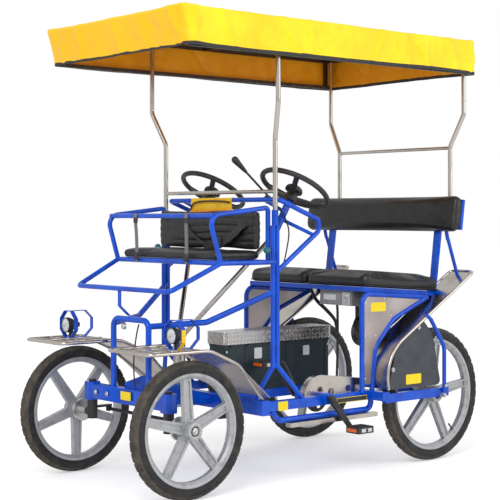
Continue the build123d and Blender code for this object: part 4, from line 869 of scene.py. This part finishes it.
TYRE_SECTION = (
    # across from the tyre's middle, below its top
    *((20.0, 46.8), (21.8, 44.0), (24.6, 39.5), (24.2, 38.0), (25.9, 33.0), (26.9, 25.0), (26.4, 18.0)),
    *((24.9, 12.0), (22.2, 7.2), (18.0, 3.6), (12.5, 1.3), (6.0, 0.3), (0.0, 0.0)),
)
TREAD_DEPTH = 3.4
SHOULDER_DROP = 14
WHEELS = (
    # name, side, half track, behind the front axle, tyre radius, tread blocks around, the valve's angle
    ("front_left", 1, 385, 0, 262, 38, 215),
    ("front_right", -1, 385, 0, 262, 38, 40),
    ("rear_left", 1, 397, 1330, 289, 42, 140),
    ("rear_right", -1, 397, 1330, 289, 42, 300),
)


def tread_cut(across, angle, blocks):
    """How deep the moulded tread is cut there: 1 in a groove, 0 on a block."""
    wave = math.sin(2 * blocks * angle) * 1.9
    cut = max(0, 1 - abs(abs(across) - 7.6 - wave * math.copysign(1, across)) / 2.1)
    turns = blocks * angle / (2 * math.pi)
    if abs(across) > 8.5:
        phase = (turns + abs(across) * 0.022 + (0.5 if across > 0 else 0)) % 1
        cut = max(cut, 1 - abs(phase - 0.5) / 0.15)
    else:
        phase = (turns + across * 0.04 + 0.25) % 1
        cut = max(cut, 0.8 * (1 - abs(phase - 0.5) / 0.06))
    edge = min(1, max(0, (26.0 - abs(across)) / 2.0))
    return min(1, max(0, cut) * 2.0) * edge


def tyre(name, centre, radius, blocks):
    half = eased([(x, 0, drop) for x, drop in TYRE_SECTION], 4)
    section = [(-point.x, point.z) for point in half] + [(point.x, point.z) for point in reversed(half[:-1])]
    rows = []
    for (x0, d0), (x1, d1) in zip(section, section[1:]):
        spacing = 1.4 if min(d0, d1) < SHOULDER_DROP else 4
        count = max(1, round(math.hypot(x1 - x0, d1 - d0) / spacing))
        rows += [(x0 + (x1 - x0) * step / count, d0 + (d1 - d0) * step / count) for step in range(count)]
    rows.append(section[-1])
    around = 560
    vertices = []
    for x, drop in rows:
        for number in range(around):
            angle = 2 * math.pi * number / around
            depth = TREAD_DEPTH * tread_cut(x, angle, blocks) if drop < SHOULDER_DROP else 0
            lean = 0.35 if abs(x) > 18 else 0
            r = (radius - drop - depth) * MM
            inset_x = (x - math.copysign(depth * lean, x)) * MM
            vertices.append(centre + Vector((inset_x, r * math.sin(angle), r * math.cos(angle))))
    shape = Shape()
    shape.add(vertices, ring_faces(len(rows), around))
    piece = shape.piece(f"tyre_tread_{name}", RUBBER, f"wheel_{name}", 42)
    piece.data.materials.append(DUSTY_TREAD)
    for face in piece.data.polygons:
        if math.hypot(face.center.y - centre.y, face.center.z - centre.z) > (radius - 15) * MM:
            face.material_index = 1
    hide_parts(f"tyre_{name}")


BEARING_SEAL = ((13.5, -7.5), (13.5, -5.5), (15.0, -4.8), (17.8, -5.2), (18.4, -7.5))
HUB_LIP = ((20.5, -0.2), (20.8, 1.4), (22.2, 2.2), (30.0, 2.2), (31.8, 1.2), (32.2, -0.2))
RIM_LIP = ((-10.5, 0), (-10.0, 1.8), (-7.0, 2.8), (1.2, 3.0), (2.2, 1.8), (1.8, 0))
VALVE = ((5.8, -1), (5.6, 3), (3.6, 6), (3.4, 22), (4.0, 22.5), (4.0, 31), (3.0, 32.5))
HUB_SCREWS = 5
SCREW_CIRCLE = 0.0262
for name, side, half_track, behind, radius, blocks, valve_angle in WHEELS:
    centre = place(side * half_track, behind, radius)
    tyre(name, centre, radius, blocks)
    body = f"wheel_{name}"
    outward = (side, 0, 0)
    face = centre + Vector((side * 0.0421, 0, 0))
    turned_piece(f"bearing_seal_{name}", face, outward, BEARING_SEAL, 40, BLACK, body, ring=True)
    turned_piece(f"hub_lip_{name}", face, outward, HUB_LIP, 48, CAST, body, ring=True)
    screws = []
    for number in range(HUB_SCREWS):
        angle = 2 * math.pi * (number + 0.5) / HUB_SCREWS
        offset = (side * 0.0018, SCREW_CIRCLE * math.sin(angle), SCREW_CIRCLE * math.cos(angle))
        screws.append((face + Vector(offset), outward))
    bolts(f"hub_screws_{name}", screws, body, 3, 3.6)
    lips = Shape()
    seat = radius - 48
    for flank in (1, -1):
        start = centre + Vector((flank * 0.0196, 0, 0))
        lips.turned(start, (flank, 0, 0), [(seat + out, up) for out, up in RIM_LIP], 160, ring=True)
    lips.piece(f"rim_lips_{name}", CAST, body, 25)
    angle = math.radians(valve_angle)
    inward = Vector((0, -math.sin(angle), -math.cos(angle)))
    turned_piece(f"valve_{name}", centre - inward * (seat - 20) * MM, inward, VALVE, 14, PLASTIC, body)

# Lamps: bezel, ribbed lens and bulb

LAMP_BEZEL = ((28.6, -0.5), (28.6, 4.0), (29.2, 5.0), (30.6, 4.4), (31.2, 1.8), (31.3, -9.0), (30.6, -10.0))
LAMP_CENTRE = ((0.0, 10.2), (3.0, 9.6), (4.6, 8.0), (4.8, 4.0))
LENS_RINGS, LENS_SIDES = 9, 60
for (side, name), lens_front in zip(SIDES, (-49, -75)):
    face = place(side * 346, lens_front, 617)
    turned_piece(f"lamp_bezel_{name}", face, AHEAD, LAMP_BEZEL, 56, PLASTIC, ring=True)
    vertices = [face + Vector((0, -0.0060, 0))]
    for ring in range(1, LENS_RINGS + 1):
        share = ring / LENS_RINGS
        for number in range(LENS_SIDES):
            angle = 2 * math.pi * number / LENS_SIDES
            facet = 0.0010 * math.cos(12 * angle) * math.sin(math.pi * share) + 0.0005 * (ring % 2)
            radius = 0.0288 * share
            height = 0.0060 - 0.0050 * share**2 + facet
            vertices.append(face + Vector((radius * math.cos(angle), -height, radius * math.sin(angle))))
    faces = [(0, 1 + number, 1 + (number + 1) % LENS_SIDES) for number in range(LENS_SIDES)]
    faces += [tuple(1 + corner for corner in quad) for quad in ring_faces(LENS_RINGS, LENS_SIDES)]
    lens = Shape()
    lens.add(vertices, faces)
    lens.piece(f"lamp_lens_{name}", CLEAR_LENS, sharp=20)
    turned_piece(f"lamp_centre_{name}", face, AHEAD, LAMP_CENTRE, 20, ZINC)


# Labels, all blank


def sticker(name, centre, half_u, half_v, u, material):
    """A thin blank label with cut corners, as wide as its two half widths along u; it stands out along u x up."""
    u, v = Vector(u), Vector(UPWARD)
    cut = min(half_u, half_v) * 0.16
    outline = []
    for a, b in ((1, 1), (-1, 1), (-1, -1), (1, -1)):
        ends = [(a * (half_u - cut), b * half_v), (a * half_u, b * (half_v - cut))]
        outline += ends if a * b < 0 else ends[::-1]
    shape = Shape()
    shape.plate([place(*centre) + (u * x + v * y) * MM for x, y in outline], 0.6, u.cross(v))
    shape.piece(name, material)


STICKERS = (
    # name, centre, half width, half height, direction of the width, finish
    ("box_label_front", (56.2, 627, 486), 21, 23, BACKWARD, WHITE_FOIL),
    ("box_label_rear", (56.2, 904, 481), 18.5, 21, BACKWARD, WHITE_FOIL),
    ("panel_label", (380.2, 1023, 681), 45, 19, BACKWARD, YELLOW_FOIL),
    ("rail_label", (378.6, 482, 309), 26, 18, BACKWARD, YELLOW_FOIL),
    ("wheel_guard_label", (459.8, 1156, 372), 47, 21, BACKWARD, YELLOW_FOIL),
    ("plate_face", (381.6, 864, 303), 86, 9, BACKWARD, PLASTIC),
    ("beam_label", (13, -26.3, 355), 34.5, 17, LEFTWARD, YELLOW_FOIL),
    ("panel_label_right", (-380.2, 1023, 681), 45, 19, AHEAD, YELLOW_FOIL),
    ("guard_label_right", (-459.8, 1156, 372), 47, 21, AHEAD, YELLOW_FOIL),
)
for row in STICKERS:
    sticker(*row)

# The name plate's raised yellow border, left blank

BORDER_BARS = (
    # behind, up, length, height
    *((864, 312.6, 176, 2.4), (864, 293.4, 176, 2.4), (777.2, 303, 2.4, 19), (950.8, 303, 2.4, 19)),
)
for side, name in SIDES:
    border = Shape()
    for behind, up, length, height in BORDER_BARS:
        border.block(place(side * 381.6, behind, up), (1.4, length, height), 0.4)
    border.piece(f"plate_border_{name}", YELLOW_FOIL)

# Dash plate: its lower fold, a thin orange sheet that is painted shade on the yellow plate

fold = Shape()
fold_corners = places((80.2, 457.8, 1094.9), (80.2, 426.4, 1057), (-190.2, 426.4, 1057), (-190.2, 457.8, 1094.9))
fold.plate(fold_corners, 0.6, (0, -0.78, 0.63))
fold.piece("dash_fold_shade_sheet", FOLD_SHADE_ORANGE)

# The left lamp guard's near strap is yellow

yellow_strap = Shape()
reach = 56.3
half = 56 * math.tan(math.radians(22.5))
bends = [(half, reach), (reach, half), (reach, -half), (half, -reach)]
for (x0, z0), (x1, z1) in zip(bends, bends[1:]):
    near, far = ([(346 + x, behind, 617 + z) for x, z in ((x0, z0), (x1, z1))] for behind in (-44.2, -26))
    yellow_strap.plate(places(*near, *far[::-1]), 0.7, (x0 + x1, 0, z0 + z1))
yellow_strap.piece("lamp_guard_yellow_strap", YELLOW)

# Side panels: brushed sheet riveted into both faces of the blue loops

PANEL_SHEET = (
    # behind and up, 11.5 mm inside the middle line of the blue loop
    *((939.500, 357.500), (939.500, 721.237), (946.360, 728.097), (1297.578, 703.672)),
    *((1107.077, 631.602), (991.982, 496.806), (975.761, 357.500)),
)
RIVETS = ((944, 380), (944, 560), (944, 700), (1060, 716), (1180, 706), (1006, 560), (1100, 640))
RIVET_HEAD = ((5.0, -0.3), (4.8, 1.2), (3.4, 2.4), (0.0, 2.8))
for side, name in SIDES:
    for face, face_name in ((1, "outer"), (-1, "inner")):
        sheet = Shape()
        x = side * 378 + side * face * 1.6
        sheet.plate([place(x, behind, up) for behind, up in PANEL_SHEET], 0.7, (side * face, 0, 0))
        sheet.piece(f"panel_sheet_{name}_{face_name}", BRUSHED)
    heads = Shape()
    for point, outward in facing_out(side, 380.4, RIVETS):
        heads.turned(point, outward, RIVET_HEAD, 14)
    heads.piece(f"panel_rivets_{name}", ZINC)

# Battery: a front plate, a blank label and a plate with the lock

block_piece("battery_front_panel", place(160, 958.4, 712), (124, 3.4, 50), 1.2, CASE_GREY)
block_piece("battery_label", place(150, 956.4, 716), (76, 0.8, 24), 0.3, WHITE_FOIL)
lock = Shape()
lock.block(place(252, 957.4, 712), (50, 4.4, 56), 1.2)
barrel = [(8.5, 0), (8.5, 3.5), (7.0, 5.0), (2.6, 5.2), (2.6, 4.0), (0.0, 4.0)]
lock.turned(place(252, 955.0, 722), AHEAD, barrel, 26)
lock.turned(place(252, 955.0, 698), AHEAD, [(4.6, 0), (4.2, 1.6), (2.2, 2.6), (0.0, 2.8)], 14)
lock.piece("battery_lock_plate", ZINC)

# Storage box: upright ribs between two level ones, and screws

for side, name in SIDES:
    ribs = Shape()
    x = side * 57.2
    for behind in (470, 560, 790, 1022):
        ribs.block(place(x, behind, 440), (2.6, 12, 196), 0.9)
    ribs.block(place(x, 746, 352), (2.6, 590, 12), 0.9)
    ribs.block(place(x, 746, 524), (2.6, 590, 10), 0.9)
    ribs.piece(f"box_ribs_{name}", BOX_TEAL)
corners = list(itertools.product((455, 1034), (356, 500)))
bolts("box_screws", facing_out(1, 56.3, corners) + facing_out(-1, 56.3, corners), across=3.4, head=3.4)

# Chain guards: a washer over the hub, and bolts

GUARD_DOT = ((0.0, 1.6), (13.2, 1.6), (13.8, 0.8), (13.8, -0.4))
GUARD_BOLTS = ((660, 352), (770, 352), (940, 334))
for side, name in SIDES:
    turned_piece(f"guard_dot_{name}", place(side * 350.2, 872, 346), (side, 0, 0), GUARD_DOT, 30, NAVY)
    bolts(f"guard_bolts_{name}", facing_out(side, 350.2, GUARD_BOLTS), across=4.2)

# Straps: two belts with buckles around the child seat's back, a wide belt and a thin one


def belt(name, points, width, material, side=LEFTWARD):
    shape = Shape()
    shape.swept(eased(places(*points), 6), flat_section(width, 2.2), side=side)
    shape.piece(name, material)


wide_belt = ((297, 418, 1062), (262, 378, 1040), (215, 368, 1000), (150, 361, 966), (95, 352, 948), (60, 330, 941))
belt("lap_belt_wide", wide_belt, 38, BELT, (0, 0.25, 1))
STRAP_ACROSS = (("left", (193, 190, 172, 157, 148)), ("right", (-150, -153, -168, -181, -188)))
for name, across in STRAP_ACROSS:
    drops = ((139, 1079), (138, 1060), (154, 1000), (166, 935), (168, 880))
    belt(f"strap_{name}", [(x, *drop) for x, drop in zip(across, drops)], 22, GREY_BELT)
buckles = Shape()
for centre, size, edge in (
    ((149, 167, 902), (27, 9, 32), 3),
    ((-187, 167, 902), (27, 9, 32), 3),
    ((191, 139, 1050), (26, 7, 20), 2),
    ((-152, 139, 1050), (26, 7, 20), 2),
    ((118, 352, 958), (58, 14, 44), 4),
):
    buckles.block(place(*centre), size, edge)
buckles.piece("buckles", PLASTIC)

# Knobs, the domed bell in the front hoop and the cables

KNOB = ((4, -6), (10, 0), (13.5, 4), (14, 12), (11.5, 18), (6, 21), (0, 21.8))
for side, name in SIDES[::-1]:
    turned_piece(f"seat_knob_{name}", place(side * 364, 418, 932), AHEAD, KNOB, 30, TEAL)
dome = ((12.2, -6), (12.6, 0), (11.8, 4), (9, 7.2), (5, 9), (0, 9.6))
turned_piece("front_dome", place(-55, 12, 625), AHEAD, dome, 32, ZINC)
cable("brake_cable_front", 6, (52, 10, 640), (48, 2, 600), (36, -2, 520), (30, 2, 440), (31, 8, 392))
dash_route = ((-184, 452, 1096), (-172, 450, 1114), (-142, 450, 1127), (-60, 450, 1131), (30, 450, 1129))
cable("dash_cable", 7, *dash_route, (76, 454, 1124))
cable("motor_cable", 8, (252, 1030, 700), (262, 1012, 640), (250, 1006, 600), (248, 1030, 572))

# Steering wheels: domed hub covers

HUB_COVER = ((37.2, 48), (37.6, 56), (34, 64), (25, 70), (12, 73), (0, 73.6))
STEERING_AXIS = Vector((0, 0.515, 0.857)).normalized()
for side, name in SIDES:
    head = place(side * 270, 611, 1128)
    turned_piece(f"steering_hub_cover_{name}", head, STEERING_AXIS, HUB_COVER, 56, PLASTIC, f"steering_{name}")

# Bolts of the chassis and the front

chassis_bolts = [(place(x, -26.2, 350), AHEAD) for x in (120, -120, 200, -200)]
for side, name in SIDES:
    chassis_bolts += facing_out(side, 483, ((1330, 289),))
    chassis_bolts += facing_out(side, 460.2, ((1030, 420), (1300, 540), (1190, 590)))
bolts("chassis_bolts", chassis_bolts)
for side, name in SIDES:
    bolts(f"axle_bolt_{name}", facing_out(side, 427.4, ((0, 262),)), f"knuckle_{name}", 8.8, 8)


def ears(kind, points):
    """A short round bar through the points on each side, that closes a gap between two tubes."""
    for side, name in SIDES:
        ear = Shape()
        ear.swept([place(side * x, behind, up) for x, behind, up in points], round_section(8.5, 14))
        ear.piece(f"{kind}_ear_{name}", BLUE)


ears("brace", ((392, 1452, 962), (392, 1446, 984), (392, 1441, 1006)))

# Pedals: amber reflectors ahead and behind, a clear one at the outer end, and grip studs

STUD = ((2.6, -0.3), (2.4, 1.2), (1.2, 2.2), (0.0, 2.4))
REFLECTOR_OUT = 0.9
for name, x0, x1, y0, y1, z in (
    # name, its lowest and highest x, front, rear, height
    ("pedal_left_outer", 427.2, 505.2, 780.5, 872.5, 191.7),
    ("pedal_left_inner", 96.7, 174.8, 557.5, 649.5, 448.3),
    ("pedal_right_inner", -174.8, -96.7, 540.7, 632.7, 208.5),
    ("pedal_right_outer", -505.2, -427.2, 797.3, 889.3, 431.5),
):
    amber = Shape()
    for behind in (y0 - REFLECTOR_OUT, y1 + REFLECTOR_OUT):
        amber.block(place((x0 + x1) / 2, behind, z), (52, 3.6, 14), 1.2)
    amber.piece(f"reflectors_{name}", AMBER, name)
    end = x1 + REFLECTOR_OUT if x1 > 0 else x0 - REFLECTOR_OUT
    block_piece(f"end_reflector_{name}", place(end, (y0 + y1) / 2, z), (3.6, 58, 14), 1.2, CLEAR_LENS, name)
    studs = Shape()
    for across, along, face in itertools.product((0.16, 0.5, 0.84), (0.14, 0.38, 0.62, 0.86), (1, -1)):
        point = place(x0 + (x1 - x0) * across, y0 + (y1 - y0) * along, z + face * 13)
        studs.turned(point, (0, 0, face), STUD, 8)
    studs.piece(f"grip_studs_{name}", PLASTIC, name)

# The damper beside each post's inner leg, and the black straps behind the box

for side, name in SIDES:
    head, foot = places((side * 330, 525, 478), (side * 330, 618, 326))
    length = (foot - head).length / MM
    barrel = [(0.0, 0.0), (7.2, 1), (7.5, 4), (7.5, length * 0.62), (6, length * 0.63)]
    rod = [(3.4, length * 0.635), (3.4, length)]
    turned_piece(f"damper_{name}", head, (foot - head).normalized(), barrel + rod, 20, BLACK)
hanger = Shape()
upright = places((50, 1094, 737), (50, 1101, 640), (50, 1102, 560), (50, 1101, 460), (50, 1096, 331))
slanting = places((30, 956, 746), (34, 986, 696), (41, 1040, 650), (47, 1087, 602), (50, 1100, 545))
hanger.swept(upright, flat_section(16, 5), side=BACKWARD)
hanger.swept(eased(slanting), flat_section(18, 5), side=(0, 0.6, 0.8))
hanger.piece("battery_hanger", BLACK)
thin_strap = ((-138, 376, 1064), (-120, 376, 1030), (-60, 375, 985), (10, 368, 955), (70, 352, 948))
belt("thin_strap_back", thin_strap, 10, BELT, (0.6, 0, 0.8))

# Crank dust caps, and the numbered disc beside the left crank

CRANK_CAP = ((13.5, -6), (14, 0), (12.5, 5), (8, 7.5), (0, 8.2))
for side, name in SIDES:
    cap_place = place(side * 424, 715, 320)
    turned_piece(f"crank_cap_{name}", cap_place, (side, 0, 0), CRANK_CAP, 28, PLASTIC, f"cranks_{name}")
disc = ((0, 0), (15, 0), (15.4, 0.8), (15, 1.8), (0, 2))
turned_piece("number_disc", place(381.6, 742, 344), LEFTWARD, disc, 36, PLASTIC)
numeral = Shape()
stroke = [(-5.2, 4.2), (-3.4, 7.4), (0.4, 8.6), (4.2, 6.8), (5.0, 3.4), (2.6, -0.6), (-1.6, -4.0)]
stroke += [(-5.6, -7.6), (0.0, -7.7), (5.6, -7.6)]
numeral.swept([place(383.9, 742 + across, 344 + up) for across, up in stroke], flat_section(2.2, 0.6), side=BACKWARD)
numeral.piece("disc_numeral", WHITE_FOIL)

# Ears that close the wheel guard stays, and the cable of the brake lever

ears("stay", ((470, 1259, 614), (469, 1248, 628), (465, 1228, 641)))
bolts("stay_bolts", [end for side, _ in SIDES for end in facing_out(side, 479, ((1340, 330),))], across=4.5)
lever_route = ((266, 508, 1150), (276, 520, 1122), (300, 548, 1082), (330, 556, 1010), (346, 530, 930))
cable("lever_cable", 6, *lever_route, (350, 505, 860))

# Floor, light and camera


def linked(name, data):
    made = bpy.data.objects.new(name, data)
    bpy.context.scene.collection.objects.link(made)
    return made


def backdrop():
    """A white floor that keeps the vehicle's shadow, under a plain white world."""
    half = 30
    corners = [(-half, -half, 0), (half, -half, 0), (half, half, 0), (-half, half, 0)]
    floor_mesh = mesh_of("floor", corners, [(0, 1, 2, 3)])
    floor = linked("floor", floor_mesh)
    paper = Finish("white_floor", base_color=(0.9, 0.9, 0.9), roughness=0.95, specular_ior_level=0.0)
    seen_share = paper.node("ShaderNodeLightPath")["Is Camera Ray"]
    paper.set("Emission Color", paper.mix(seen_share, (0, 0, 0), (1, 1, 1)))
    paper.set("Emission Strength", 0.36)
    floor_mesh.materials.append(paper.material)
    world = bpy.data.worlds.new("studio")
    bpy.context.scene.world = world
    world.use_nodes = True
    tree = world.node_tree
    light = tree.nodes["Background"]
    light.inputs["Color"].default_value = (1, 1, 1, 1)
    light.inputs["Strength"].default_value = 0.75
    seen = tree.nodes.new("ShaderNodeBackground")
    seen.inputs["Color"].default_value = (1, 1, 1, 1)
    path = tree.nodes.new("ShaderNodeLightPath")
    mixer = tree.nodes.new("ShaderNodeMixShader")
    tree.links.new(path.outputs["Is Camera Ray"], mixer.inputs["Fac"])
    tree.links.new(light.outputs[0], mixer.inputs[1])
    tree.links.new(seen.outputs[0], mixer.inputs[2])
    tree.links.new(mixer.outputs[0], tree.nodes["World Output"].inputs["Surface"])


def area_light(name, position, power, size=3.0, target=(0, 0, 0.7)):
    light = bpy.data.lights.new(name, "AREA")
    light.size = size
    light.energy = power
    holder = linked(name, light)
    holder.location = position
    holder.rotation_euler = (Vector(target) - Vector(position)).to_track_quat("-Z", "Y").to_euler()


backdrop()
area_light("key_light", (2.6, -4.2, 4.2), 120)
area_light("fill_light", (4.5, 2.2, 2.6), 60)

camera_data = bpy.data.cameras.new("camera")
camera_data.sensor_width = 36
camera_data.lens = 96.45
camera_data.shift_y = -0.0671
camera = linked("camera", camera_data)
camera.location = (4.3758, -3.7543, 1.0658)
camera.rotation_euler = (math.radians(90), 0, math.radians(49.743))
bpy.context.scene.camera = camera
bpy.context.scene.view_settings.view_transform = "Standard"
